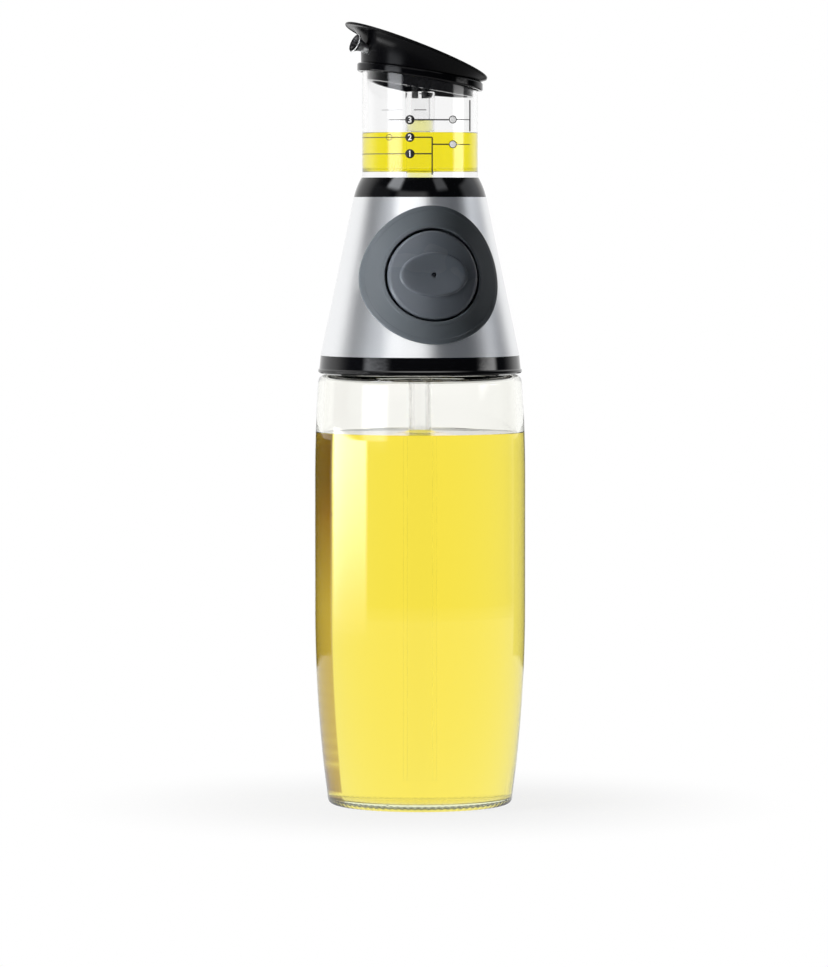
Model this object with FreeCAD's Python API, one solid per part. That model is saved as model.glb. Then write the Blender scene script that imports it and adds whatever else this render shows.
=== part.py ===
"""Press-and-measure oil bottle: glass bottle, screw-on pump head, clear measuring chamber and slanted lid.

Pressing the round button pumps air into the bottle, which drives oil up the dip tube and the riser into
the chamber.
The frame has +Z up and its origin at the centre of the base. The button faces -Y, and the spout points
to -X, turned a little to the front.
All sizes are in millimetres.
"""

import FreeCAD
import Part

import math
import os

Vector = FreeCAD.Vector

# Glass bottle
BOTTLE_R = 37.6
BARREL_LOW_Z = 71.0
BARREL_HIGH_Z = 116.0
BARREL_ARC_R = 525.0
BOTTLE_H = 153.9
GLASS_WALL = 2.6
BASE_THICK = 2.8
PUNT_H = 1.0
BEARING_WIDTH = 3.0
HEEL_FILLET = 2.4
SHOULDER_FILLET = 3.0
INNER_FILLET = 3.0
NECK_R = 26.6
NECK_WALL = 3.2
NECK_H = 9.5
RIM_FILLET = 0.8
OIL_LEVEL_Z = 132.9

# Screw thread between the neck and the collar
THREAD_PITCH = 4.0
THREAD_DEPTH = 1.2
THREAD_ROOT_WIDTH = 2.0
THREAD_CREST_WIDTH = 1.0
NECK_THREAD_TURNS = 1.25
COLLAR_THREAD_TURNS = 1.25
THREAD_SINK = 0.5
THREAD_CLEARANCE = 0.5
THREAD_LIFT = 1.4

# Screw collar and gasket
COLLAR_GAP = 0.4
COLLAR_BAND_H = 6.3
COLLAR_LIP = 0.9
COLLAR_LIP_H = 1.2
GASKET_T = 1.2
ROOF_T = 2.2
TUBE_BOSS_R = 6.6
TUBE_BOSS_DROP = 10.6

# Dip tube
TUBE_R = 4.1
TUBE_BORE_R = 3.1
TUBE_END_GAP = 8.0
TUBE_STOP_T = 1.6

# Silver cone
CONE_BOTTOM_R = 35.5
CONE_TOP_R = 23.6
CONE_H = 56.4
CONE_WALL = 2.0

# Pump frame inside the cone
FRAME_BASE_R = 27.0
FRAME_BASE_T = 2.2
FRAME_PLATE_T = 2.4
FRAME_PLATE_DROP = 1.0
DUCT_R = 5.0
DUCT_BORE_R = 3.1
DUCT_SOCKET_R = 8.0
DUCT_SOCKET_DEPTH = 6.0
CUP_R = 16.4
CUP_BORE_R = 13.0
CUP_WALL_T = 1.6
CUP_DEPTH = 8.6
CUP_WEB_R = 8.0
AIR_PORT_R = 2.2

# Button, bezel and air diaphragm, along the button's own axis
BUTTON_RISE = 29.0
BUTTON_R = 16.0
BUTTON_FACE_R = 45.0
BUTTON_PROUD = 0.8
BUTTON_PLATE_T = 5.2
BUTTON_SKIRT_T = 1.2
BUTTON_SKIRT_DROP = 2.3
BUTTON_STEM_R = 7.0
BUTTON_TRAVEL = 5.0
BUTTON_EDGE = 0.7
THUMB_HALF_W = 12.1
THUMB_HALF_H = 8.0
THUMB_RISE = 0.6
THUMB_DISH_R = 48.0
THUMB_DISH_DEPTH = 1.1
AIR_HOLE_R = 0.9
BEZEL_R = 24.7
BEZEL_PROUD = 0.8
BEZEL_LIP = 0.5
BEZEL_SLEEVE_T = 1.3
BEZEL_SLEEVE_DROP = 2.5
BUTTON_GAP = 0.8
DIAPHRAGM_T = 1.2
DIAPHRAGM_ROLL_R = 2.4
CLAMP_T = 1.3
SPRING_R = 6.0
SPRING_WIRE_R = 0.45
SPRING_TURNS = 4

# Air valve in the collar roof
VALVE_FLANGE_R = 3.4
VALVE_FLANGE_T = 0.9
VALVE_BILL_H = 5.0
VALVE_BILL_HALF_T = 0.5
VALVE_WALL = 0.7

# Upper ring
RING_H = 6.9
RING_TOP_DROP = 2.7
RING_BULGE = 0.3
RING_BULGE_SHARE = 0.55

# Measuring chamber and riser
CHAMBER_R = 20.6
CHAMBER_WALL = 1.4
CHAMBER_FOOT_R = 21.3
CHAMBER_FOOT_H = 1.8
CHAMBER_FLOOR_T = 2.6
CHAMBER_FLOOR_RISE = 2.1
CHAMBER_OIL_DEPTH = 14.0
RISER_R = 5.3
RISER_BORE_R = 3.2
RISER_H = 28.5
RISER_OIL_DEPTH = 18.0
SEAL_CORD_R = 0.8
CROWN_T = 1.4
CROWN_GAP = 1.8
CROWN_PRONGS = 4
CROWN_PRONG_DEPTH = 2.4
CROWN_PRONG_T = 1.1

# Lid: base ring, seal, cover and spout
LID_TILT = 9.6
LID_TURN = 6.0
RIM_RISE = 33.4
LID_SEAL_T = 0.8
COLLAR_SKIRT = 1.2
COLLAR_OVERHANG = 1.5
LID_BAND_H = 1.7
LID_PLUG_WALL = 1.9
LID_PLUG_DEPTH = 3.9
LID_PLUG_ARCH = 0.8
LID_EDGE = 0.6
COVER_OVERHANG = 0.4
COVER_WALL = 1.9
COVER_SECTIONS = 5
COVER_HOLLOW_SECTIONS = 3
COVER_SIDE_FLARE = 2.0
VISOR_REACH = 6.0
VISOR_CURL = 3.0
VISOR_RISE = 13.7
VISOR_SWEEP = 1.6
TAIL_REACH = 2.9
TAIL_RISE = 0.9
COVER_RIM_T = 1.0
DOME_R = 650.0
DOME_RISE = 0.5
SPOUT_ELEVATION = 24.0
SPOUT_TURN = 16.0
SPOUT_R = 1.8
SPOUT_BORE_R = 1.3
SPOUT_MOUTH_R = 3.5
SPOUT_FLARE_L = 3.6
SPOUT_FLARE_BEND = 0.35
SPOUT_L = 10.7
SPOUT_LIP_T = 0.5
SPOUT_ROOT_X = -15.8
SPOUT_ROOT_RISE = 6.0

# Clearances
FIT = 0.1
RUN = 0.3
OIL_GAP = 0.1

# Heights that follow from the sizes above
RIM_Z = BOTTLE_H + NECK_H
ROOF_Z = RIM_Z + GASKET_T
ROOF_TOP_Z = ROOF_Z + ROOF_T
COLLAR_Z = BOTTLE_H + COLLAR_GAP
CONE_Z = COLLAR_Z + COLLAR_BAND_H
CONE_TOP_Z = CONE_Z + CONE_H
RING_TOP_Z = CONE_TOP_Z + RING_H
PLATE_TOP_Z = CONE_TOP_Z - FRAME_PLATE_DROP
CHAMBER_Z = PLATE_TOP_Z
CHAMBER_FLOOR_Z = RING_TOP_Z + CHAMBER_FLOOR_RISE
RISER_TOP_Z = CHAMBER_FLOOR_Z + RISER_H
RIM_PLANE_Z = CHAMBER_FLOOR_Z + RIM_RISE
SEAM_Z = RIM_PLANE_Z + LID_BAND_H
CHAMBER_BORE_R = CHAMBER_R - CHAMBER_WALL
NECK_BORE_R = NECK_R - NECK_WALL
SKIRT_BORE_R = NECK_R + THREAD_DEPTH + THREAD_CLEARANCE

# Button axis: square to the cone's side, leaning back by the cone's half angle
CONE_LEAN = math.degrees(math.atan((CONE_BOTTOM_R - CONE_TOP_R) / CONE_H))
LEAN_COS = math.cos(math.radians(CONE_LEAN))
LEAN_SIN = math.sin(math.radians(CONE_LEAN))


def cone_radius(z):
    """Outer radius of the silver cone at height z."""
    return CONE_BOTTOM_R - (z - CONE_Z) * math.tan(math.radians(CONE_LEAN))


BUTTON_Z = CONE_Z + BUTTON_RISE
FACE_D = cone_radius(BUTTON_Z) / LEAN_COS
AXIS_Z = BUTTON_Z - cone_radius(BUTTON_Z) * LEAN_SIN / LEAN_COS
CUP_BACK_D = DUCT_R + RUN
CUP_FLOOR_D = CUP_BACK_D + CUP_WALL_T
CUP_RIM_D = CUP_FLOOR_D + CUP_DEPTH
STEM_D = CUP_RIM_D + DIAPHRAGM_T
PLATE_D = FACE_D + BUTTON_PROUD - BUTTON_PLATE_T


# Helpers

def turned(start, *steps):
    """Solid of revolution about Z. A step is an (r, z) corner, or a (through, end) pair for an arc."""
    edges = []
    here = Vector(start[0], 0, start[1])
    for step in list(steps) + [start]:
        if isinstance(step[0], tuple):
            through = Vector(step[0][0], 0, step[0][1])
            end = Vector(step[1][0], 0, step[1][1])
            edges.append(Part.Arc(here, through, end).toShape())
        else:
            end = Vector(step[0], 0, step[1])
            if end.isEqual(here, 1e-7):
                continue
            edges.append(Part.LineSegment(here, end).toShape())
        here = end
    face = Part.Face(Part.Wire(edges))
    return face.revolve(Vector(0, 0, 0), Vector(0, 0, 1), 360)


def cylinder(radius, low, high, x=0.0, y=0.0):
    """Upright cylinder between two heights."""
    return Part.makeCylinder(radius, high - low, Vector(x, y, low))


def tube(outer, bore, low, high):
    """Upright tube between two heights."""
    return cylinder(outer, low, high).cut(cylinder(bore, low, high))


def ring_edges(shape, radius, z):
    """The circular edges of a shape that have this radius, centred on Z at this height."""
    found = []
    for edge in shape.Edges:
        if edge.Degenerated:
            continue
        curve = edge.Curve
        if not isinstance(curve, Part.Circle):
            continue
        if abs(curve.Radius - radius) < 1e-4 and abs(curve.Center.z - z) < 1e-4:
            found.append(edge)
    return found


def on_button_axis(shape):
    """Moves a shape made about Z onto the button's axis: Z points out of the cone, Y up its side."""
    turn = FreeCAD.Rotation(Vector(1, 0, 0), 90 - CONE_LEAN)
    shape.Placement = FreeCAD.Placement(Vector(0, 0, AXIS_Z), turn).multiply(shape.Placement)
    return shape


def cone_solid(offset):
    """Solid inside the silver cone's surface moved out by offset, longer than the cone at both ends."""
    grow = offset / LEAN_COS
    reach = COLLAR_BAND_H
    low = CONE_Z - reach
    high = CONE_TOP_Z + reach
    return Part.makeCone(cone_radius(low) + grow, cone_radius(high) + grow, high - low, Vector(0, 0, low))


def with_lid(shape):
    """Turns a shape made with its high side towards -X to where the lid sits on the bottle."""
    shape.rotate(Vector(0, 0, 0), Vector(0, 0, 1), LID_TURN)
    return shape


def below_lid_plane(z, reach=3 * CHAMBER_R):
    """Block under the slanted plane that crosses the axis at height z and falls away from the spout."""
    block = Part.makeBox(2 * reach, 2 * reach, 2 * reach, Vector(-reach, -reach, -2 * reach))
    block.rotate(Vector(0, 0, 0), Vector(0, 1, 0), LID_TILT)
    block.translate(Vector(0, 0, z))
    return with_lid(block)


def slanted_ring(outer, bore, low, high):
    """Upright ring cut off by two slanted lid planes, given by their heights on the Z axis."""
    rise = 2 * outer * math.tan(math.radians(LID_TILT))
    ring = tube(outer, bore, low - rise, high + rise)
    return ring.common(below_lid_plane(high)).cut(below_lid_plane(low))


def thread_ridge(root_r, crest_r, low, turns):
    """Helical ridge of trapezoid section from root_r to crest_r, its first turn centred at height low."""
    outward = 1.0 if crest_r > root_r else -1.0
    buried = root_r - outward * THREAD_SINK
    half_root = THREAD_ROOT_WIDTH / 2
    half_crest = THREAD_CREST_WIDTH / 2
    corners = [(buried, -half_root), (crest_r, -half_crest), (crest_r, half_crest), (buried, half_root)]
    points = [Vector(r, 0, low + dz) for r, dz in corners]
    section = Part.makePolygon(points + points[:1])
    helix = Part.makeHelix(THREAD_PITCH, THREAD_PITCH * turns, root_r)
    helix.translate(Vector(0, 0, low))
    return Part.Wire(helix.Edges).makePipeShell([section], True, True)


# Bottle

def barrel_radius(z):
    """Outer radius of the glass: straight in the middle, drawn in along one large arc above and below."""
    past = max(BARREL_LOW_Z - z, z - BARREL_HIGH_Z, 0.0)
    return BOTTLE_R - (BARREL_ARC_R - math.sqrt(BARREL_ARC_R ** 2 - past ** 2))


def barrel_steps(low, high, inset):
    """Outline steps up the barrel from height low to high, moved in by inset."""
    lower_mid = (low + BARREL_LOW_Z) / 2
    upper_mid = (high + BARREL_HIGH_Z) / 2
    return [
        (barrel_radius(low) - inset, low),
        ((barrel_radius(lower_mid) - inset, lower_mid), (BOTTLE_R - inset, BARREL_LOW_Z)),
        (BOTTLE_R - inset, BARREL_HIGH_Z),
        ((barrel_radius(upper_mid) - inset, upper_mid), (barrel_radius(high) - inset, high)),
    ]


def bottle_cavity(gap):
    """Space inside the glass, kept clear of it by gap, up to the underside of the shoulder."""
    floor = BASE_THICK + gap
    roof = BOTTLE_H - GLASS_WALL - gap
    inset = GLASS_WALL + gap
    space = turned((0, floor), *barrel_steps(floor, roof, inset), (0, roof))
    space = space.makeFillet(INNER_FILLET, ring_edges(space, barrel_radius(floor) - inset, floor))
    return space.makeFillet(SHOULDER_FILLET, ring_edges(space, barrel_radius(roof) - inset, roof))


def glass_bottle():
    bearing_r = barrel_radius(0) - HEEL_FILLET
    bearing_in_r = bearing_r - BEARING_WIDTH
    dome_r = (bearing_in_r ** 2 + PUNT_H ** 2) / (2 * PUNT_H)
    dome_mid_z = PUNT_H - dome_r + math.sqrt(dome_r ** 2 - (bearing_in_r / 2) ** 2)
    body = turned(
        (0, PUNT_H),
        ((bearing_in_r / 2, dome_mid_z), (bearing_in_r, 0)),
        *barrel_steps(0, BOTTLE_H, 0),
        (NECK_R, BOTTLE_H),
        (NECK_R, RIM_Z),
        (0, RIM_Z),
    )
    body = body.makeFillet(HEEL_FILLET, ring_edges(body, barrel_radius(0), 0))
    body = body.makeFillet(SHOULDER_FILLET, ring_edges(body, barrel_radius(BOTTLE_H), BOTTLE_H))
    bore = cylinder(NECK_BORE_R, BOTTLE_H - 2 * GLASS_WALL, RIM_Z)
    body = body.cut(bottle_cavity(0).fuse(bore))
    rims = ring_edges(body, NECK_R, RIM_Z) + ring_edges(body, NECK_BORE_R, RIM_Z)
    body = body.makeFillet(RIM_FILLET, rims)
    low = BOTTLE_H + THREAD_LIFT + THREAD_ROOT_WIDTH
    return body.fuse(thread_ridge(NECK_R, NECK_R + THREAD_DEPTH, low, NECK_THREAD_TURNS))


def tube_end_z():
    return BASE_THICK + TUBE_END_GAP


def bottle_oil():
    """Oil up to the fill level, with a slot for the wall of the dip tube that stands in it."""
    oil = bottle_cavity(OIL_GAP).common(cylinder(BOTTLE_R, 0, OIL_LEVEL_Z))
    slot = tube(TUBE_R + RUN, TUBE_BORE_R - RUN, tube_end_z() - RUN, OIL_LEVEL_Z + RUN)
    return oil.cut(slot)


# Collar, gasket, tube and air valve

def neck_gasket():
    return tube(NECK_R, NECK_BORE_R, RIM_Z, ROOF_Z)


def air_port_y():
    """Front-to-back place of the air port, under the floor of the pump cup."""
    depth = (CUP_FLOOR_D + CUP_RIM_D) / 2
    return -(depth * LEAN_COS + CUP_BORE_R * LEAN_SIN)


def screw_collar():
    spigot_r = cone_radius(CONE_Z) - CONE_WALL / LEAN_COS - FIT
    spigot_top_r = cone_radius(ROOF_TOP_Z) - CONE_WALL / LEAN_COS - FIT
    lip_r = CONE_BOTTOM_R + COLLAR_LIP
    stop_z = ROOF_TOP_Z - TUBE_STOP_T
    boss_z = ROOF_Z - TUBE_BOSS_DROP
    collar = turned(
        (SKIRT_BORE_R, COLLAR_Z),
        (lip_r - COLLAR_LIP / 2, COLLAR_Z),
        (lip_r, COLLAR_Z + COLLAR_LIP / 2),
        (lip_r, COLLAR_Z + COLLAR_LIP_H),
        (lip_r - COLLAR_LIP / 2, COLLAR_Z + COLLAR_LIP_H + COLLAR_LIP / 2),
        (CONE_BOTTOM_R, CONE_Z),
        (spigot_r, CONE_Z),
        (spigot_top_r, ROOF_TOP_Z),
        (DUCT_BORE_R, ROOF_TOP_Z),
        (DUCT_BORE_R, stop_z),
        (TUBE_R + FIT, stop_z),
        (TUBE_R + FIT, boss_z),
        (TUBE_BOSS_R, boss_z),
        (TUBE_BOSS_R, ROOF_Z),
        (SKIRT_BORE_R, ROOF_Z),
    )
    port = cylinder(AIR_PORT_R, ROOF_Z - ROOF_T, ROOF_TOP_Z + ROOF_T, 0, air_port_y())
    collar = collar.cut(port)
    low = BOTTLE_H + THREAD_LIFT + THREAD_ROOT_WIDTH - THREAD_PITCH / 2
    crest_r = NECK_R + THREAD_CLEARANCE
    return collar.fuse(thread_ridge(SKIRT_BORE_R, crest_r, low, COLLAR_THREAD_TURNS))


def dip_tube():
    return tube(TUBE_R, TUBE_BORE_R, tube_end_z(), ROOF_TOP_Z - TUBE_STOP_T)


def air_valve():
    """Duckbill under the roof: a flange, a neck in the port and a flat bill that opens into the bottle."""
    neck_r = AIR_PORT_R - FIT
    bore_r = neck_r - VALVE_WALL
    flange_z = ROOF_Z - VALVE_FLANGE_T
    tip_z = flange_z - VALVE_BILL_H
    body = cylinder(neck_r, ROOF_Z, ROOF_TOP_Z - FIT).fuse(cylinder(VALVE_FLANGE_R, flange_z, ROOF_Z))
    round_end = Part.Wire(Part.Circle(Vector(0, 0, flange_z), Vector(0, 0, 1), neck_r).toShape())
    flat_end = Part.Wire(Part.Ellipse(Vector(0, 0, tip_z), neck_r, VALVE_BILL_HALF_T).toShape())
    body = body.fuse(Part.makeLoft([round_end, flat_end], True, True))
    bore = cylinder(bore_r, flange_z, ROOF_TOP_Z)
    body = body.cut(bore)
    body.translate(Vector(0, air_port_y(), 0))
    return body


# Cone, bezel and pump frame

def silver_cone():
    thick = CONE_WALL / LEAN_COS
    shell = turned(
        (CONE_BOTTOM_R, CONE_Z),
        (CONE_TOP_R, CONE_TOP_Z),
        (CONE_TOP_R - thick, CONE_TOP_Z),
        (CONE_BOTTOM_R - thick, CONE_Z),
    )
    hole = on_button_axis(cylinder(BEZEL_R - BEZEL_LIP + FIT, 0, FACE_D + CONE_WALL))
    return shell.cut(hole)


def button_bezel():
    """Ring that follows the cone's side, with a lip over the hole's edge and a sleeve round the button."""
    bore_r = BUTTON_R + BUTTON_GAP
    reach = FACE_D + 2 * BEZEL_PROUD
    ring = on_button_axis(tube(BEZEL_R - BEZEL_LIP, bore_r, 0, reach))
    ring = ring.common(cone_solid(BEZEL_PROUD)).cut(cone_solid(-CONE_WALL))
    lip = on_button_axis(tube(BEZEL_R, bore_r, 0, reach))
    lip = lip.common(cone_solid(BEZEL_PROUD)).cut(cone_solid(FIT))
    sleeve = on_button_axis(tube(bore_r + BEZEL_SLEEVE_T, bore_r, 0, reach))
    sleeve = sleeve.common(cone_solid(BEZEL_PROUD)).cut(cone_solid(-CONE_WALL - BEZEL_SLEEVE_DROP))
    front = Part.makeBox(4 * BOTTLE_R, 2 * BOTTLE_R, 2 * BOTTLE_H, Vector(-2 * BOTTLE_R, -2 * BOTTLE_R, 0))
    return ring.fuse(lip).fuse(sleeve).common(front).removeSplitter()


def pump_frame():
    """Base plate, central oil duct, top plate and the air cup behind the button, in one moulding."""
    plate_low = PLATE_TOP_Z - FRAME_PLATE_T
    plate_r = cone_radius(PLATE_TOP_Z) - CONE_WALL / LEAN_COS - RUN
    socket_z = PLATE_TOP_Z - DUCT_SOCKET_DEPTH
    frame = cylinder(FRAME_BASE_R, ROOF_TOP_Z, ROOF_TOP_Z + FRAME_BASE_T)
    frame = frame.fuse(cylinder(DUCT_R, ROOF_TOP_Z, PLATE_TOP_Z))
    frame = frame.fuse(cylinder(DUCT_SOCKET_R, socket_z - FRAME_PLATE_T, PLATE_TOP_Z))
    frame = frame.fuse(cylinder(plate_r, plate_low, PLATE_TOP_Z))
    cup = on_button_axis(cylinder(CUP_R, CUP_BACK_D, CUP_RIM_D))
    cup_web = on_button_axis(cylinder(CUP_WEB_R, 0, CUP_FLOOR_D))
    frame = frame.fuse(cup).fuse(cup_web)
    frame = frame.cut(on_button_axis(cylinder(CUP_BORE_R, CUP_FLOOR_D, CUP_RIM_D)))
    under = cylinder(2 * FRAME_BASE_R, 0, ROOF_TOP_Z)
    frame = frame.cut(under)
    frame = frame.cut(cylinder(DUCT_BORE_R, ROOF_TOP_Z, PLATE_TOP_Z))
    frame = frame.cut(cylinder(RISER_R + FIT, socket_z, PLATE_TOP_Z))
    frame = frame.cut(seal_ring(socket_z, FIT))
    port_top = AXIS_Z + CUP_RIM_D * LEAN_SIN - CUP_BORE_R * LEAN_COS + AIR_PORT_R
    return frame.cut(cylinder(AIR_PORT_R, ROOF_TOP_Z, port_top, 0, air_port_y()))


def seal_ring(socket_z, grow):
    """O-ring round the riser's spigot, half way down the socket."""
    middle = socket_z + DUCT_SOCKET_DEPTH / 2
    return Part.makeTorus(RISER_R + SEAL_CORD_R, SEAL_CORD_R + grow, Vector(0, 0, middle))


def riser_seal():
    socket_z = PLATE_TOP_Z - DUCT_SOCKET_DEPTH
    spigot = cylinder(RISER_R + FIT / 2, socket_z, PLATE_TOP_Z)
    return seal_ring(socket_z, 0).cut(spigot)


# Button and what returns it

def button_face(radius, proud):
    """Front of the button: a cylinder along local Y whose crest stands proud of the cone's side."""
    reach = 2 * BUTTON_R
    centre = Vector(0, -reach, FACE_D + proud - radius)
    face = Part.makeCylinder(radius, 2 * reach, centre, Vector(0, 1, 0))
    face.rotate(centre, Vector(0, 1, 0), 180)
    return face


def press_button():
    """Plate with a curved face and a raised, dished thumb oval, a guiding skirt and a bored stem."""
    face = button_face(BUTTON_FACE_R, BUTTON_PROUD)
    crest = FACE_D + BUTTON_PROUD + THUMB_RISE
    plate = cylinder(BUTTON_R, PLATE_D, crest).common(face)
    front_edges = [e for e in plate.Edges if e.BoundBox.ZMin > PLATE_D + BUTTON_EDGE]
    plate = plate.makeFillet(BUTTON_EDGE, front_edges)
    oval = Part.Face(Part.Wire(Part.Ellipse(Vector(0, 0, PLATE_D), THUMB_HALF_W, THUMB_HALF_H).toShape()))
    pad = oval.extrude(Vector(0, 0, BUTTON_PLATE_T + THUMB_RISE))
    pad = pad.common(button_face(BUTTON_FACE_R + THUMB_RISE, BUTTON_PROUD + THUMB_RISE))
    dish_centre = FACE_D + BUTTON_PROUD + THUMB_RISE - THUMB_DISH_DEPTH + THUMB_DISH_R
    pad = pad.cut(Part.makeSphere(THUMB_DISH_R, Vector(0, 0, dish_centre)))
    oval_hole = oval.extrude(Vector(0, 0, 2 * BUTTON_PLATE_T))
    oval_hole.translate(Vector(0, 0, BUTTON_PLATE_T / 2))
    button = plate.cut(oval_hole).fuse(pad)
    skirt = tube(BUTTON_R, BUTTON_R - BUTTON_SKIRT_T, PLATE_D - BUTTON_SKIRT_DROP, PLATE_D)
    skirt = skirt.common(face)
    stem = cylinder(BUTTON_STEM_R, STEM_D, PLATE_D)
    button = button.fuse(skirt).fuse(stem)
    return on_button_axis(button.cut(cylinder(AIR_HOLE_R, STEM_D, crest)).removeSplitter())


def air_diaphragm():
    """Rolling diaphragm: a flange on the cup's rim, a rounded roll and a flat middle under the stem."""
    low = CUP_RIM_D
    high = CUP_RIM_D + DIAPHRAGM_T
    roll_out_r = CUP_BORE_R - RUN
    roll_r = roll_out_r - DIAPHRAGM_ROLL_R
    roll_in_r = roll_r - DIAPHRAGM_ROLL_R
    inner = DIAPHRAGM_ROLL_R - DIAPHRAGM_T
    skin = turned(
        (AIR_HOLE_R, low),
        (roll_in_r, low),
        (roll_in_r, low - RUN),
        ((roll_r, low - RUN - DIAPHRAGM_ROLL_R), (roll_out_r, low - RUN)),
        (roll_out_r, low),
        (CUP_R, low),
        (CUP_R, high),
        (roll_r + inner, high),
        (roll_r + inner, low - RUN),
        ((roll_r, low - RUN - inner), (roll_r - inner, low - RUN)),
        (roll_r - inner, high),
        (AIR_HOLE_R, high),
    )
    return on_button_axis(skin)


def diaphragm_clamp():
    return on_button_axis(tube(CUP_R, CUP_BORE_R - RUN, STEM_D, STEM_D + CLAMP_T))


def return_spring():
    """Compression spring in the cup, from its floor to the middle of the diaphragm."""
    low = CUP_FLOOR_D + SPRING_WIRE_R + FIT
    high = CUP_RIM_D - SPRING_WIRE_R - FIT
    rise = (high - low) / SPRING_TURNS
    helix = Part.makeLongHelix(rise, high - low, SPRING_R)
    helix.translate(Vector(0, 0, low))
    start = Vector(SPRING_R, 0, low)
    along = Vector(0, 2 * math.pi * SPRING_R, rise)
    section = Part.Wire(Part.Circle(start, along, SPRING_WIRE_R).toShape())
    return on_button_axis(Part.Wire(helix.Edges).makePipeShell([section], True, True))


# Upper ring, chamber and riser

def upper_ring():
    """Black ring that holds the chamber's foot down on the pump frame."""
    foot_top = CHAMBER_Z + CHAMBER_FOOT_H + FIT
    bulge_r = CONE_TOP_R - RING_TOP_DROP * RING_BULGE_SHARE + RING_BULGE
    bulge_z = CONE_TOP_Z + RING_H * RING_BULGE_SHARE
    return turned(
        (CHAMBER_FOOT_R + FIT, CONE_TOP_Z),
        (CONE_TOP_R, CONE_TOP_Z),
        ((bulge_r, bulge_z), (CONE_TOP_R - RING_TOP_DROP, RING_TOP_Z)),
        (CHAMBER_R + FIT, RING_TOP_Z),
        (CHAMBER_R + FIT, foot_top),
        (CHAMBER_FOOT_R + FIT, foot_top),
    )


def measuring_chamber():
    """Clear cup with a foot, a raised floor, an upright riser in its middle and a slanted rim."""
    high = RIM_PLANE_Z + CHAMBER_R
    floor_low = CHAMBER_FLOOR_Z - CHAMBER_FLOOR_T
    spigot_z = PLATE_TOP_Z - DUCT_SOCKET_DEPTH
    cup = turned(
        (RISER_BORE_R, spigot_z),
        (RISER_R, spigot_z),
        (RISER_R, floor_low),
        (CHAMBER_BORE_R, floor_low),
        (CHAMBER_BORE_R, CHAMBER_Z),
        (CHAMBER_FOOT_R, CHAMBER_Z),
        (CHAMBER_FOOT_R, CHAMBER_Z + CHAMBER_FOOT_H),
        (CHAMBER_R, CHAMBER_Z + CHAMBER_FOOT_H),
        (CHAMBER_R, high),
        (CHAMBER_BORE_R, high),
        (CHAMBER_BORE_R, CHAMBER_FLOOR_Z),
        (RISER_R, CHAMBER_FLOOR_Z),
        (RISER_R, RISER_TOP_Z),
        (RISER_BORE_R, RISER_TOP_Z),
    )
    return cup.common(below_lid_plane(RIM_PLANE_Z, 2 * RIM_PLANE_Z))


def chamber_oil():
    """The measured oil round the riser, and the column that stands in the riser."""
    low = CHAMBER_FLOOR_Z + OIL_GAP
    pool = tube(CHAMBER_BORE_R - OIL_GAP, RISER_R + OIL_GAP, low, CHAMBER_FLOOR_Z + CHAMBER_OIL_DEPTH)
    column = cylinder(RISER_BORE_R - OIL_GAP, low, CHAMBER_FLOOR_Z + RISER_OIL_DEPTH)
    return Part.makeCompound([pool, column])


def riser_crown():
    """Cap over the riser: a disc on prongs that stand in the bore, so that oil spills out between them."""
    disc_z = RISER_TOP_Z + CROWN_GAP
    prong_r = RISER_BORE_R - FIT
    disc = cylinder(RISER_R, disc_z, disc_z + CROWN_T)
    crown = tube(prong_r, prong_r - CROWN_PRONG_T, RISER_TOP_Z - CROWN_PRONG_DEPTH, disc_z)
    slot_low = RISER_TOP_Z - 2 * CROWN_PRONG_DEPTH
    for k in range(CROWN_PRONGS):
        wedge = Part.Face(Part.makePolygon([
            Vector(0, 0, slot_low),
            Vector(2 * RISER_R, -RISER_R, slot_low),
            Vector(2 * RISER_R, RISER_R, slot_low),
            Vector(0, 0, slot_low),
        ])).extrude(Vector(0, 0, disc_z - slot_low))
        wedge.rotate(Vector(0, 0, 0), Vector(0, 0, 1), 360.0 * k / CROWN_PRONGS)
        crown = crown.cut(wedge)
    return disc.fuse(crown)


# Lid

def lid_band_r():
    return CHAMBER_R + COLLAR_OVERHANG + RUN


def lid_seal():
    return slanted_ring(CHAMBER_R, CHAMBER_BORE_R + FIT, RIM_PLANE_Z, RIM_PLANE_Z + LID_SEAL_T)


def lid_base():
    """Band over the chamber's rim, with a plug inside it whose lower edge is arched."""
    seal_top = RIM_PLANE_Z + LID_SEAL_T
    plug_r = CHAMBER_BORE_R - RUN
    plug_bore = plug_r - LID_PLUG_WALL
    band = slanted_ring(lid_band_r(), CHAMBER_R + RUN, RIM_PLANE_Z - COLLAR_SKIRT, SEAM_Z)
    rim_edges = [e for e in band.Edges if e.Length > 2 * math.pi * (lid_band_r() - LID_EDGE)]
    band = band.makeFillet(LID_EDGE, rim_edges)
    roof = slanted_ring(CHAMBER_R + 2 * RUN, plug_bore, seal_top, SEAM_Z)
    lowest = RIM_PLANE_Z - LID_PLUG_DEPTH - LID_PLUG_ARCH
    plug = slanted_ring(plug_r, plug_bore, lowest, SEAM_Z)
    arch_r = (plug_r ** 2 + LID_PLUG_ARCH ** 2) / (2 * LID_PLUG_ARCH)
    arch = Part.makeCylinder(arch_r, 4 * plug_r, Vector(0, -2 * plug_r, arch_r), Vector(0, 1, 0))
    arch.rotate(Vector(0, 0, 0), Vector(0, 1, 0), LID_TILT)
    arch.translate(Vector(0, 0, lowest))
    return band.fuse(roof).fuse(plug.common(with_lid(arch))).removeSplitter()


def cover_share(k):
    """How far section k of the cover lies from its foot to its rim, from 0 to 1."""
    return k / (COVER_SECTIONS - 1)


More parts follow.
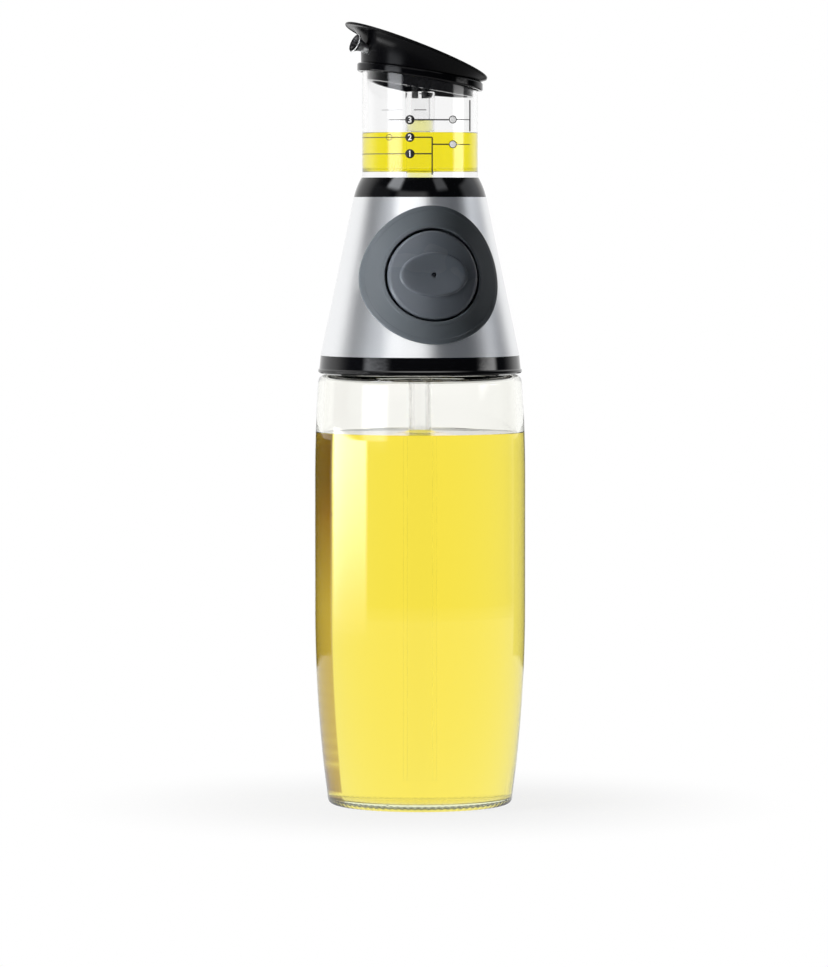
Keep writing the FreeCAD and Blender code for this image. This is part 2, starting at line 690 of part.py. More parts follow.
def lid_sections():
    """Left and right ends, as (x, height above the seam), of the cover's slanted ovals from seam to rim."""
    foot_r = CHAMBER_R + COVER_OVERHANG
    drop = math.tan(math.radians(LID_TILT)) * foot_r
    ends = []
    for k in range(COVER_SECTIONS):
        share = cover_share(k)
        reach = VISOR_REACH * share ** VISOR_CURL
        rise = VISOR_RISE * (1 - (1 - share) ** VISOR_SWEEP)
        left = (-foot_r - reach, drop + rise)
        right = (foot_r + TAIL_REACH * share, TAIL_RISE * share - drop)
        ends.append((left, right))
    return ends


def slanted_oval(left, right, half_width, inset=0.0):
    """Closed oval in the slanted plane through its left and right ends, drawn in by inset."""
    low = Vector(left[0], 0, SEAM_Z + left[1])
    high = Vector(right[0], 0, SEAM_Z + right[1])
    along = high - low
    half = along.Length / 2 - inset
    along.normalize()
    centre = (low + high) * 0.5
    side = Vector(0, half_width - inset, 0)
    if half >= side.Length:
        curve = Part.Ellipse(centre + along * half, centre + side, centre)
    else:
        curve = Part.Ellipse(centre + side, centre - along * half, centre)
    return Part.Wire(curve.toShape())


def cover_half_width(k):
    """Half width of the cover's section k, front to back."""
    return CHAMBER_R + COVER_OVERHANG + COVER_SIDE_FLARE * cover_share(k)


def lid_cover():
    """Hollow slanted cover, flaring into a visor over the spout, under a shallow dome."""
    ends = lid_sections()
    outer = [slanted_oval(left, right, cover_half_width(k)) for k, (left, right) in enumerate(ends)]
    left, right = ends[-1]
    tip = Vector(left[0], 0, SEAM_Z + left[1])
    tail = Vector(right[0], 0, SEAM_Z + right[1])
    up = Vector(tail.z - tip.z, 0, tip.x - tail.x)
    up.normalize()
    up = up if up.z > 0 else up * -1
    body = Part.makeLoft(outer, True, False)
    plate = Part.Face(outer[-1]).extrude(up * (COVER_RIM_T + 2 * DOME_RISE))
    crest = (tip + tail) * 0.5 + up * (COVER_RIM_T + DOME_RISE)
    dome = Part.makeSphere(DOME_R, crest - up * DOME_R)
    cover = body.fuse(plate.common(dome))
    hollow_ends = ends[:COVER_HOLLOW_SECTIONS]
    inner = [slanted_oval(a, b, cover_half_width(k), COVER_WALL) for k, (a, b) in enumerate(hollow_ends)]
    cover = cover.cut(Part.makeLoft(inner, True, False))
    return with_lid(cover).cut(spout_blank(FIT))


def spout_frame(shape):
    """Moves a shape made about Z onto the spout's axis, with its root end inside the lid."""
    turn = FreeCAD.Rotation(Vector(0, 1, 0), -(90 - SPOUT_ELEVATION))
    place = Vector(SPOUT_ROOT_X, 0, SEAM_Z + SPOUT_ROOT_RISE)
    shape.Placement = FreeCAD.Placement(place, turn).multiply(shape.Placement)
    shape.rotate(Vector(0, 0, 0), Vector(0, 0, 1), SPOUT_TURN)
    return shape


def spout_blank(grow):
    """Outside of the spout, grown on every side, to cut its hole and its room under the visor."""
    flare_z = SPOUT_L - SPOUT_FLARE_L
    neck = cylinder(SPOUT_R + grow, 0, flare_z)
    flare = Part.makeCone(SPOUT_R + grow, SPOUT_MOUTH_R + grow, SPOUT_FLARE_L + grow, Vector(0, 0, flare_z))
    return spout_frame(neck.fuse(flare))


def pour_spout():
    """Steel tube whose mouth flares like a trumpet and ends in a rolled lip."""
    flare_z = SPOUT_L - SPOUT_FLARE_L
    wall = SPOUT_R - SPOUT_BORE_R
    mid_z = flare_z + SPOUT_FLARE_L * (1 - SPOUT_FLARE_BEND)
    mid_r = SPOUT_R + (SPOUT_MOUTH_R - SPOUT_R) * SPOUT_FLARE_BEND
    spout = turned(
        (SPOUT_BORE_R, 0),
        (SPOUT_R, 0),
        (SPOUT_R, flare_z),
        ((mid_r, mid_z), (SPOUT_MOUTH_R, SPOUT_L - SPOUT_LIP_T)),
        (SPOUT_MOUTH_R, SPOUT_L),
        (SPOUT_MOUTH_R - wall, SPOUT_L),
        ((mid_r - wall, mid_z + wall), (SPOUT_BORE_R, flare_z + wall)),
    )
    return spout_frame(spout)


NODES = [
    glass_bottle,
    bottle_oil,
    neck_gasket,
    screw_collar,
    dip_tube,
    air_valve,
    silver_cone,
    button_bezel,
    pump_frame,
    press_button,
    air_diaphragm,
    diaphragm_clamp,
    return_spring,
    upper_ring,
    riser_seal,
    measuring_chamber,
    chamber_oil,
    riser_crown,
    lid_seal,
    lid_base,
    lid_cover,
    pour_spout,
]


def main():
    os.makedirs("parts", exist_ok=True)
    for make in NODES:
        shape = make()
        volume = round(shape.Volume, 1)
        print(make.__name__, len(shape.Solids), "solids", volume, "mm3, valid", shape.isValid())
        shape.exportStep(f"parts/{make.__name__}.step")


if __name__ == "__main__":
    main()
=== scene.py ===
"""Press-and-measure oil bottle, dressed over its packed frame.

Pieces are numpy surfaces: a function of two parameters on a grid, worked out on whole arrays in
millimetres and stored in metres in the frame's own axes (+Z up, button towards -Y, spout towards -X).
"""

import math
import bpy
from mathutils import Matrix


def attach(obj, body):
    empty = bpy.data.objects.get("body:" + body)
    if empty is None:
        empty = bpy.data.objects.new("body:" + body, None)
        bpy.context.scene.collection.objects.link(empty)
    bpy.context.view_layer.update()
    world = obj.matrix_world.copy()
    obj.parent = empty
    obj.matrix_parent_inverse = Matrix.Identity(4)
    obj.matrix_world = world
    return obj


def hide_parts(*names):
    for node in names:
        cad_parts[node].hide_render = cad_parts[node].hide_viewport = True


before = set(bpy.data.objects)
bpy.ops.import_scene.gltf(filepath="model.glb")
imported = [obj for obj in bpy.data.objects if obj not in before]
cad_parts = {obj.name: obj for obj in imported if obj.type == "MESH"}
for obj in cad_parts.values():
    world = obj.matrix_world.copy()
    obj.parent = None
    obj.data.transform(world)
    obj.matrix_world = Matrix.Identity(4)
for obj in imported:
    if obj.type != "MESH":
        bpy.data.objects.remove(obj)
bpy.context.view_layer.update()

from types import SimpleNamespace

import bmesh
import bpy
import numpy as np

bl_info = {
    "name": "Press-and-measure oil bottle",
    "version": (1, 0, 0),
    "blender": (4, 5, 0),
    "location": "View3D > Sidebar > Oil bottle",
    "description": "Builds a glass oil bottle with a pump head, a measuring chamber and a slanted lid",
    "category": "Add Mesh",
}

MM = 0.001
PHOTO_W, PHOTO_H = 828, 967
SENSOR_MM = 36.0
CLIP_END = 50.0
SAME_PLACE = 1e-7
UNCOLOURED = (1.0, 1.0, 1.0, 1.0)


# Sizes and colours

def length(label, value, text):
    """Length property: its default is given in millimetres and stored in metres."""
    return bpy.props.FloatProperty(
        name=label, description=text, default=value * MM, unit="LENGTH", precision=5)


def angle(label, value, text):
    """Angle property: its default is given in degrees and stored in radians."""
    return bpy.props.FloatProperty(
        name=label, description=text, default=math.radians(value), subtype="ANGLE")


def number(label, value, text, subtype="NONE"):
    """Plain number property."""
    return bpy.props.FloatProperty(name=label, description=text, default=value, subtype=subtype)


def colour(label, value, text):
    """Colour property: linear red, green and blue, fully opaque."""
    return bpy.props.FloatVectorProperty(
        name=label, description=text, default=(*value, 1.0), size=4, subtype="COLOR")


def sizes(group):
    """A group's values by name, with lengths in millimetres and angles in degrees."""
    scale = {"LENGTH": 1 / MM, "ROTATION": 180 / math.pi}
    props = group.bl_rna.properties
    keys = type(group).__annotations__
    return SimpleNamespace(**{key: getattr(group, key) * scale.get(props[key].unit, 1) for key in keys})


class BottleSizes(bpy.types.PropertyGroup):
    """Glass bottle, its oil and the dip tube."""

    radius: length("Radius", 37.6, "Outer radius of the straight part of the glass")
    low_z: length("Straight from", 71.0, "Height where the straight part starts")
    high_z: length("Straight to", 116.0, "Height where the straight part ends")
    arc_r: length("Side arc", 525.0, "Radius of the arcs that draw the sides in")
    height: length("Body height", 153.9, "Height of the glass below its neck")
    wall: length("Wall", 2.6, "Thickness of the side wall")
    top_wall: length("Shoulder wall", 1.9, "Thickness of the glass at the shoulder")
    base: length("Base", 2.8, "Thickness of the base")
    base_fillet: length("Base fillet", 3.0, "Radius of the bottom corner inside")
    punt: length("Punt", 1.0, "Rise of the hollow under the base")
    bearing: length("Bearing", 3.0, "Width of the ring that stands on the floor")
    heel: length("Heel", 2.4, "Radius of the outer bottom edge")
    shoulder: length("Shoulder", 3.0, "Radius of the outer top edge")
    neck_r: length("Neck radius", 26.6, "Outer radius of the neck")
    neck_wall: length("Neck wall", 3.2, "Thickness of the neck")
    neck_h: length("Neck height", 9.5, "Height of the neck above the shoulder")
    knurls: bpy.props.IntProperty(name="Knurls", description="Number of notches round the foot", default=84)
    knurl_depth: length("Knurl depth", 0.45, "Depth of the notches round the foot")
    oil_z: length("Oil level", 132.9, "Height of the oil's surface")
    meniscus: length("Rise at the glass", 0.4, "How far the oil climbs at the glass")
    tube_climb: length("Rise at the tube", 1.3, "How far the oil climbs at the dip tube")
    tube_r: length("Tube radius", 4.1, "Outer radius of the dip tube")
    tube_bore: length("Tube bore", 3.1, "Inner radius of the dip tube")
    tube_low: length("Tube foot", 10.8, "Height of the dip tube's lower end")
    tube_high: length("Tube head", 165.2, "Height of the dip tube's upper end")


class ButtonSizes(bpy.types.PropertyGroup):
    """Cone, bezel ring and button, along the button's own axis."""

    cone_z: length("Cone foot", 160.6, "Height of the cone's lower end")
    cone_h: length("Cone height", 56.4, "Height of the cone")
    cone_low_r: length("Cone foot radius", 35.5, "Radius of the cone's lower end")
    cone_high_r: length("Cone head radius", 23.6, "Radius of the cone's upper end")
    rise: length("Button height", 29.0, "Height of the button's middle above the cone's foot")
    radius: length("Button radius", 16.0, "Radius of the button")
    face_r: length("Face curve", 40.0, "Radius of the curve across the button's face")
    proud: length("Button proud", 0.8, "How far the button stands out of the cone")
    depth: length("Button depth", 7.4, "Length of the button along its axis")
    edge: length("Button edge", 1.1, "Radius of the button's rounded edge")
    oval_w: length("Oval half width", 11.8, "Half width of the raised oval")
    oval_h: length("Oval half height", 7.8, "Half height of the raised oval")
    oval_rise: length("Oval rise", 0.6, "How far the oval's edge is raised")
    dish: length("Dish", 1.3, "Depth of the hollow in the oval")
    hole_r: length("Air hole", 0.9, "Radius of the air hole")
    bezel_r: length("Bezel radius", 24.9, "Outer radius of the bezel ring")
    bezel_bore: length("Bezel bore", 16.8, "Inner radius of the bezel ring")
    bezel_proud: length("Bezel proud", 0.8, "How far the bezel ring stands out of the cone")


class ChamberSizes(bpy.types.PropertyGroup):
    """Clear measuring chamber, riser, oil and the printed scale."""

    radius: length("Radius", 20.6, "Outer radius of the chamber")
    wall: length("Wall", 1.4, "Thickness of the chamber's wall")
    foot_z: length("Foot", 216.0, "Height of the chamber's lower end")
    foot_r: length("Foot radius", 21.3, "Outer radius of the foot")
    foot_h: length("Foot height", 1.8, "Height of the foot")
    floor_z: length("Floor", 226.0, "Height of the chamber's floor")
    floor_t: length("Floor thickness", 2.6, "Thickness of the chamber's floor")
    floor_fillet: length("Floor fillet", 1.6, "Radius of the floor's corner inside")
    rim_z: length("Rim", 259.4, "Height of the slanted rim at the axis")
    slant_z: length("Slant from", 245.0, "Height where the slant starts")
    tilt: angle("Tilt", 9.6, "Slope of the slanted rim")
    turn: angle("Turn", 6.0, "Turn of the slant about the axis")
    oil_z: length("Oil level", 239.5, "Height of the measured oil's surface")
    riser_r: length("Riser radius", 5.3, "Outer radius of the riser")
    riser_bore: length("Riser bore", 3.2, "Inner radius of the riser")
    riser_low: length("Riser foot", 210.0, "Height of the riser's lower end")
    riser_top: length("Riser head", 254.5, "Height of the riser's upper end")
    riser_oil_z: length("Riser oil level", 244.0, "Height of the oil in the riser")
    plug: length("Plug", 4.2, "How far the lid's plug reaches into the chamber")
    meniscus: length("Rise at the wall", 0.4, "How far the oil climbs at the wall and the riser")
    ink_lift: length("Ink lift", 0.03, "Distance of the print from the wall")
    ink_depth: length("Ink depth", 0.02, "Thickness of the print")
    line: length("Fine line", 0.30, "Width of the fine lines")
    bold_line: length("Bold line", 0.46, "Width of the bold lines")
    badge_r: length("Badge radius", 1.65, "Radius of the discs behind the figures")
    spot_r: length("Spot radius", 1.4, "Radius of the pale spots")
    figure_h: length("Figure height", 2.1, "Height of the figures")


class LidSizes(bpy.types.PropertyGroup):
    """Slanted lid cover and its spout."""

    seam_z: length("Seam", 261.1, "Height of the cover's lower edge at the axis")
    tilt: angle("Tilt", 9.6, "Slope of the cover's lower edge")
    turn: angle("Turn", 6.0, "Turn of the lid about the axis")
    foot_r: length("Foot radius", 21.0, "Radius of the cover's lower edge")
    wall: length("Wall", 1.9, "Thickness of the cover's wall")
    rim_t: length("Rim thickness", 0.95, "Thickness of the top's rounded rim")
    dome: length("Dome", 0.55, "Rise of the top's middle over its rim")
    visor_reach: length("Visor reach", 6.0, "How far the visor stands out over the spout")
    visor_curl: number("Visor curl", 3.0, "Power of the visor's outward run; more bends it later")
    visor_rise: length("Visor rise", 13.7, "Rise of the visor above the seam")
    visor_sweep: number("Visor sweep", 1.6, "Power of the visor's rise; more rises it earlier")
    tail_reach: length("Tail reach", 2.9, "How far the low end stands out")
    tail_rise: length("Tail rise", 0.9, "Rise of the low end above the seam")
    side_flare: length("Side flare", 2.0, "How far the sides stand out at the top")
    spout_r: length("Spout radius", 1.8, "Outer radius of the spout's neck")
    spout_bore: length("Spout bore", 1.3, "Inner radius of the spout's neck")
    spout_mouth: length("Spout mouth", 3.5, "Outer radius of the spout's mouth")
    spout_flare: length("Spout flare", 3.6, "Length of the spout's flare")
    spout_length: length("Spout length", 10.7, "Length of the spout from its root")
    spout_root: length("Spout root", -15.8, "Place of the spout's root across the lid")
    spout_rise: length("Spout rise", 6.0, "Height of the spout's root above the seam")
    spout_angle: angle("Spout angle", 24.0, "Rise of the spout above level")
    spout_turn: angle("Spout turn", 16.0, "Turn of the spout about the lid's axis")


class BottleColours(bpy.types.PropertyGroup):
    """Colours of the finishes."""

    glass: colour("Glass", (1.0, 0.996, 0.984), "Surface of the bottle's glass")
    glass_volume: colour("Glass body", (0.88, 0.93, 0.60), "What light takes on inside the glass")
    oil_volume: colour("Oil", (1.0, 0.95, 0.335), "What light takes on in the bottle's oil")
    chamber_volume: colour("Measured oil", (0.995, 0.965, 0.0), "What light takes on in the chamber's oil")
    clear: colour("Clear plastic", (0.985, 0.985, 0.985), "Chamber and riser")
    black: colour("Black plastic", (0.003, 0.003, 0.004), "Rings, crown and lid")
    silver: colour("Silver", (0.85, 0.86, 0.87), "Satin cone")
    bezel: colour("Bezel", (0.20, 0.23, 0.26), "Ring round the button")
    button: colour("Button", (0.23, 0.26, 0.305), "Press button")
    steel: colour("Steel", (0.88, 0.89, 0.90), "Spout and spring")
    # Painted shade: near black laid on the spout's bore and the inside of its flare, for the shade that
    # falls in them.
    dark_steel: colour("Spout painted shade", (0.02, 0.02, 0.022), "Inside of the spout")
    inner: colour("Inner moulding", (0.70, 0.70, 0.69), "Pump frame and clamp")
    silicone: colour("Silicone", (0.72, 0.73, 0.72), "Seals, valve and diaphragm")
    ink: colour("Ink", (0.012, 0.012, 0.014), "Bold lines and badges")
    grey_ink: colour("Grey ink", (0.09, 0.085, 0.08), "Fine lines and spot edges")
    # The figures' colour is also the colour of their painted glow.
    digit: colour("Figures", (0.90, 0.90, 0.90), "Figures and pale spots")


class StageSizes(bpy.types.PropertyGroup):
    """Camera, floor and light."""

    azimuth: angle("Camera azimuth", -9.8, "Turn of the camera about the object from the button's side")
    distance: length("Camera distance", 2050.0, "Distance of the camera from the axis")
    eye_z: length("Eye height", 217.0, "Height of the camera")
    focal_px: number("Focal length", 5742.0, "Focal length in pixels of the photo", "PIXEL")
    axis_px: number("Axis", 420.0, "Column of the photo that the axis falls on", "PIXEL")
    horizon_px: number("Horizon", 197.0, "Row of the photo at eye height", "PIXEL")
    mm_per_px: number("Photo scale", 0.357, "Millimetres to a pixel of the photo at the axis")
    floor_r: length("Floor radius", 1200.0, "Radius of the floor")
    panel_r: length("Panel distance", 1000.0, "Distance of the large panels from the axis")
    near_r: length("Near panel distance", 500.0, "Distance of the low panels from the axis")
    card_r: length("Card distance", 450.0, "Distance of the cards behind the glass from the axis")
    overhead_r: length("Overhead half width", 800.0, "Half width of the panel above the object")
    overhead_z: length("Overhead height", 1400.0, "Height of the panel above the object")
    white_bearing: angle("White side", -168.0, "Bearing of the studio's white side from the camera's side")
    floor: colour("Floor", (0.9, 0.9, 0.9), "Floor near the object")
    floor_seen: colour("Floor in mirrors", (0.85, 0.85, 0.85), "Floor that mirrors see")
    dark: colour("Studio dark", (0.055, 0.06, 0.07), "Studio in front, as mirrors see it")
    white: colour("Studio white", (1.05, 1.05, 1.05), "Studio behind, as mirrors see it")


# Surface helpers

def rounded(corners, samples=7):
    """Outline through (r, z, fillet) corners: straight runs joined by arcs of the given fillet radius."""
    straight = 1.56
    most = 0.48
    pts = np.array([c[:2] for c in corners], float)
    out = [pts[:1]]
    for k in range(1, len(corners) - 1):
        here = pts[k]
        back = pts[k - 1] - here
        ahead = pts[k + 1] - here
        lb = np.hypot(*back)
        la = np.hypot(*ahead)
        back = back / lb
        ahead = ahead / la
        half = 0.5 * math.acos(float(np.clip(back @ ahead, -1, 1)))
        if corners[k][2] <= 0 or half > straight:
            out.append(here[None])
            continue
        reach = min(corners[k][2] / math.tan(half), most * lb, most * la)
        fillet = reach * math.tan(half)
        centre = here + (back + ahead) / np.hypot(*(back + ahead)) * fillet / math.sin(half)
        start = here + back * reach - centre
        end = here + ahead * reach - centre
        a0 = math.atan2(start[1], start[0])
        turn = (math.atan2(end[1], end[0]) - a0 + math.pi) % (2 * math.pi) - math.pi
        ang = a0 + turn * np.linspace(0, 1, samples)
        out.append(centre + fillet * np.stack([np.cos(ang), np.sin(ang)], 1))
    out.append(pts[-1:])
    return supported(np.concatenate(out))


def supported(line, near=0.3):
    """Adds a point close to both ends of every long run of an outline, which keeps smooth shading true."""
    tiny = 1e-6
    step = np.diff(line, axis=0)
    run = np.hypot(step[:, 0], step[:, 1])
    share = np.where(run > 3 * near, near / np.maximum(run, tiny), np.nan)
    rows = np.stack([line[:-1], line[:-1] + step * share[:, None], line[1:] - step * share[:, None]], 1)
    rows = np.concatenate([rows.reshape(-1, 2), line[-1:]])
    rows = rows[~np.isnan(rows[:, 0])]
    keep = np.r_[True, np.hypot(*np.diff(rows, axis=0).T) > tiny]
    return rows[keep]


def circle(segments):
    """Angles of a closed round of points, as a column."""
    return np.linspace(0, 2 * math.pi, segments, endpoint=False)[:, None]


def lathe(outline, segments=192):
    """Grid of a surface of revolution: point (a, k) is outline point k turned by angle a about Z."""
    ang = circle(segments)
    r = outline[None, :, 0]
    z = np.broadcast_to(outline[None, :, 1], (segments, len(outline)))
    return np.stack([r * np.cos(ang), r * np.sin(ang), z], -1)


def grid_faces(nu, nv, wrap_u, wrap_v, offset=0):
    """Quads of a grid of nu by nv points, joined up along the wrapped directions."""
    iu = np.arange(nu if wrap_u else nu - 1)[:, None]
    iv = np.arange(nv if wrap_v else nv - 1)[None, :]
    ju = (iu + 1) % nu
    jv = (iv + 1) % nv
    quads = np.stack([iu * nv + iv, ju * nv + iv, ju * nv + jv, iu * nv + jv], -1)
    return quads.reshape(-1, 4) + offset


def mark_faces(obj, name, chosen):
    """Writes a UV layer whose U is 1 on the faces with chosen centres, in millimetres, and 0 elsewhere."""
    mesh = obj.data
    centres = np.empty(len(mesh.polygons) * 3, np.float32)
    mesh.polygons.foreach_get("center", centres)
    picked = chosen(centres.reshape(-1, 3) / MM).astype(np.float32)
    sides = np.empty(len(mesh.polygons), np.int32)
    mesh.polygons.foreach_get("loop_total", sides)
    u = np.repeat(picked, sides)
    layer = mesh.uv_layers.new(name=name)
    layer.data.foreach_set("uv", np.stack([u, np.zeros_like(u)], 1).ravel())


def join_points(mesh):
    """Joins the points that fall together, which closes seams and poles."""
    work = bmesh.new()
    work.from_mesh(mesh)
    bmesh.ops.remove_doubles(work, verts=work.verts, dist=SAME_PLACE)
    work.to_mesh(mesh)
    work.free()


def thicken(obj, depth):
    """Gives a printed sheet a depth in millimetres, outwards."""
    skin = obj.modifiers.new("depth", "SOLIDIFY")
    skin.thickness = depth * MM
    skin.offset = 1.0


def mesh_piece(name, grids, body, material, replaces=()):
    """One mesh object from (points, wrap_u, wrap_v) grids in mm, riding on a body in place of CAD nodes."""
    verts = []
    faces = []
    count = 0
    for points, wrap_u, wrap_v in grids:
        nu, nv = points.shape[:2]
        verts.append(points.reshape(-1, 3))
        faces.append(grid_faces(nu, nv, wrap_u, wrap_v, count))
        count += nu * nv
    verts = np.concatenate(verts) * MM
    faces = np.concatenate(faces)
    mesh = bpy.data.meshes.new(name)
    mesh.vertices.add(len(verts))
    mesh.vertices.foreach_set("co", verts.astype(np.float32).ravel())
    mesh.loops.add(faces.size)
    mesh.loops.foreach_set("vertex_index", faces.astype(np.int32).ravel())
    mesh.polygons.add(len(faces))
    mesh.polygons.foreach_set("loop_start", np.arange(0, faces.size, 4, dtype=np.int32))
    mesh.update(calc_edges=True)
    join_points(mesh)
    mesh.shade_smooth()
    obj = bpy.data.objects.new(name, mesh)
    bpy.context.scene.collection.objects.link(obj)
    obj.data.materials.append(material)
    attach(obj, body)
    if replaces:
        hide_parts(*replaces)
    return obj


def outward(grid):
    """The same grid with its faces turned round."""
    points, wrap_u, wrap_v = grid
    return points[::-1], wrap_u, wrap_v


# Material helpers

def feed(tree, node, inputs):
    """Links or sets a node's inputs, which are given by name or place."""
    for key, value in inputs.items():
        if isinstance(value, bpy.types.NodeSocket):
            tree.links.new(value, node.inputs[key])
        else:
            node.inputs[key].default_value = value


def add(tree, kind, inputs=None, **settings):
    """New node with its settings and inputs."""
    node = tree.nodes.new(kind)
    for key, value in settings.items():
        setattr(node, key, value)
    feed(tree, node, inputs or {})
    return node


def output(tree, kind, inputs=None, **settings):
    """First live output of a new node."""
    return next(out for out in add(tree, kind, inputs, **settings).outputs if out.enabled)


def between(tree, source, low, high):
    """Maps a 0 to 1 output to the range low to high."""
    return output(tree, "ShaderNodeMapRange", {"Value": source, "To Min": low, "To Max": high})


def fade(tree, source, start, end, low=0.0, high=1.0):
    """Smooth step of an output: low at start, high at end."""
    ends = {"From Min": start, "From Max": end, "To Min": low, "To Max": high}
    return output(tree, "ShaderNodeMapRange", {"Value": source, **ends}, interpolation_type="SMOOTHSTEP")


def combine(tree, operation, a, b):
    """Two numbers joined by a Math node."""
    return output(tree, "ShaderNodeMath", {0: a, 1: b}, operation=operation)


def blend(tree, factor, a, b):
    """Colour that runs from a to b with the factor."""
    return output(tree, "ShaderNodeMix", {"Factor": factor, "A": a, "B": b}, data_type="RGBA")


def layered(tree, factor, a, b):
    """Shader that runs from a to b with the factor."""
    return output(tree, "ShaderNodeMixShader", {"Fac": factor, 1: a, 2: b})


def across_layer(tree, layer):
    """Outputs X and Y with the U and V of a UV layer."""
    place = output(tree, "ShaderNodeUVMap", uv_map=layer)
    return add(tree, "ShaderNodeSeparateXYZ", {"Vector": place}).outputs


def noise(tree, scale, detail):
    """Noise from 0 to 1 on Object coordinates."""
    place = add(tree, "ShaderNodeTexCoord").outputs["Object"]
    return output(tree, "ShaderNodeTexNoise", {"Vector": place, "Scale": scale, "Detail": detail})


def bump(tree, height, strength, depth):
    """Normal of a bump of the given depth in metres."""
    return output(tree, "ShaderNodeBump", {"Height": height, "Strength": strength, "Distance": depth})


def tint(tree, source, base, spread):
    """Colour that varies a little round the given one."""
    low = tuple(c * (1 - spread) for c in base[:3]) + (1,)
    high = tuple(min(1.0, c * (1 + spread)) for c in base[:3]) + (1,)
    return blend(tree, source, low, high)


def shader(name):
    """New node material: the material, its node tree and its Principled shader."""
    mat = bpy.data.materials.new(name)
    mat.use_nodes = True
    tree = mat.node_tree
    return mat, tree, tree.nodes["Principled BSDF"]


def clear_material(name, base, ior, scale, wave=0.0, absorb=None, density=0.0, wet=None, alpha=1.0):
    """Clear glass, plastic or liquid, slightly wavy, absorbing per metre, not mirroring on wet faces."""
    most_rough = 0.015
    wave_depth = 0.001
    mat, tree, bsdf = shader(name)
    grain = noise(tree, scale, 2.0)
    feed(tree, bsdf, {
        "Base Color": tuple(base),
        "IOR": ior,
        "Transmission Weight": 1.0,
        "Alpha": alpha,
        "Roughness": between(tree, grain, 0.0, most_rough),
    })
    if wet:
        feed(tree, bsdf, {"Specular Tint": between(tree, across_layer(tree, wet)["X"], 1.0, 0.0)})
    if wave:
        feed(tree, bsdf, {"Normal": bump(tree, grain, wave, wave_depth)})
    if absorb is not None:
        volume = output(tree, "ShaderNodeVolumeAbsorption", {"Color": tuple(absorb), "Density": density})
        feed(tree, tree.nodes["Material Output"], {"Volume": volume})
    return mat


def plastic_material(name, base, rough, grain, grain_scale, spread=0.08, shine=0.5):
    """Moulded plastic: fine grain bump, slight colour and gloss variation."""
    broad_scale = 40.0
    grain_depth = 0.0003
    mat, tree, bsdf = shader(name)
    fine = noise(tree, grain_scale, 4.0)
    broad = noise(tree, broad_scale, 2.0)
    feed(tree, bsdf, {
        "Base Color": tint(tree, broad, base, spread),
        "Roughness": between(tree, broad, *rough),
        "Specular IOR Level": shine,
        "Normal": bump(tree, fine, grain, grain_depth),
    })
    return mat


def metal_material(name, base, rough, grain, grain_scale, metallic=1.0):
    """Metal or metallic paint with speckled grain."""
    spread = 0.05
    grain_depth = 0.0002
    mat, tree, bsdf = shader(name)
    fine = noise(tree, grain_scale, 5.0)
    feed(tree, bsdf, {
        "Base Color": tint(tree, fine, base, spread),
        "Metallic": metallic,
        "Roughness": between(tree, fine, *rough),
        "Normal": bump(tree, fine, grain, grain_depth),
    })
    return mat


def darken(material, layer, dark):
    """Changes a material's base colour to the given one on the faces that a UV layer marks; used to paint
    shade inside the spout.
    """
    tree = material.node_tree
    bsdf = tree.nodes["Principled BSDF"]
    before = bsdf.inputs["Base Color"].links[0].from_socket
    feed(tree, bsdf, {"Base Color": blend(tree, across_layer(tree, layer)["X"], before, tuple(dark))})


def dress(node, material):
    """Gives a CAD node a material."""
    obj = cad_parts[node]
    obj.data.materials.clear()
    obj.data.materials.append(material)


# Bottle

def barrel(s, z):
    """Glass radius at height z: straight between low_z and high_z, on one large arc beyond."""
    past = np.maximum(np.maximum(s.low_z - z, z - s.high_z), 0.0)
    return s.radius - (s.arc_r - np.sqrt(s.arc_r ** 2 - past ** 2))


def barrel_line(s, low, high, inset, count=35):
    """Barrel outline from height low to high, drawn in by inset, as (r, z, fillet) corners."""
    z = np.linspace(low, high, count)
    r = barrel(s, z) - inset
    return [(float(a), float(b), 0.0) for a, b in zip(r, z)]


def bottle_grid(s):
    """Glass: the outline up from the punt, over the neck's rim and down the inner wall, turned about Z.

    Round the foot the radius is cut by a cosine of the angle, within a bell-shaped band of heights.
    """
    ring_fillet, neck_fillet, rim_fillet = 0.6, 1.0, 0.8
    knurl_z, knurl_spread, knurl_top, knurl_in = 0.8, 0.9, 2.6, 4.0
    points_per_knurl = 4
    foot = float(barrel(s, np.array(0.0)))
    bearing = foot - s.heel
    ring = bearing - s.bearing
    rim = s.height + s.neck_h
    bore = s.neck_r - s.neck_wall
    top = s.height - s.top_wall
    punt_r = np.linspace(0.0, ring, 12)
    dome_r = (ring ** 2 + s.punt ** 2) / (2 * s.punt)
    punt_z = s.punt - dome_r + np.sqrt(dome_r ** 2 - punt_r ** 2)
    corners = [(float(a), float(b), 0.0) for a, b in zip(punt_r[:-1], punt_z[:-1])]
    corners += [(ring, 0.0, ring_fillet)]
    outer = barrel_line(s, 0.0, s.height, 0.0)
    outer[0] = (foot, 0.0, s.heel)
    outer[-1] = outer[-1][:2] + (s.shoulder,)
    corners += outer[:1] + outer[3:-2] + outer[-1:]
    corners += [(s.neck_r, s.height, neck_fillet), (s.neck_r, rim, rim_fillet), (bore, rim, rim_fillet)]
    corners += [(bore, top, neck_fillet)]
    inner = barrel_line(s, s.base, top, s.wall)[::-1]
    inner[0] = inner[0][:2] + (s.shoulder / 3,)
    inner[-1] = inner[-1][:2] + (s.base_fillet,)
    corners += inner[:1] + inner[2:-3] + inner[-1:]
    corners += [(0.0, s.base, 0.0)]
    grid = lathe(rounded(corners), points_per_knurl * s.knurls)
    x, y, z = np.moveaxis(grid, -1, 0)
    r = np.hypot(x, y)
    band = np.exp(-((z - knurl_z) / knurl_spread) ** 2) * (r > foot - knurl_in) * (z < knurl_top)
    cut = s.knurl_depth * band * (0.5 - 0.5 * np.cos(s.knurls * np.arctan2(y, x))) / np.maximum(r, 1)
    grid[..., :2] *= (1 - cut)[..., None]
    return grid, True, False


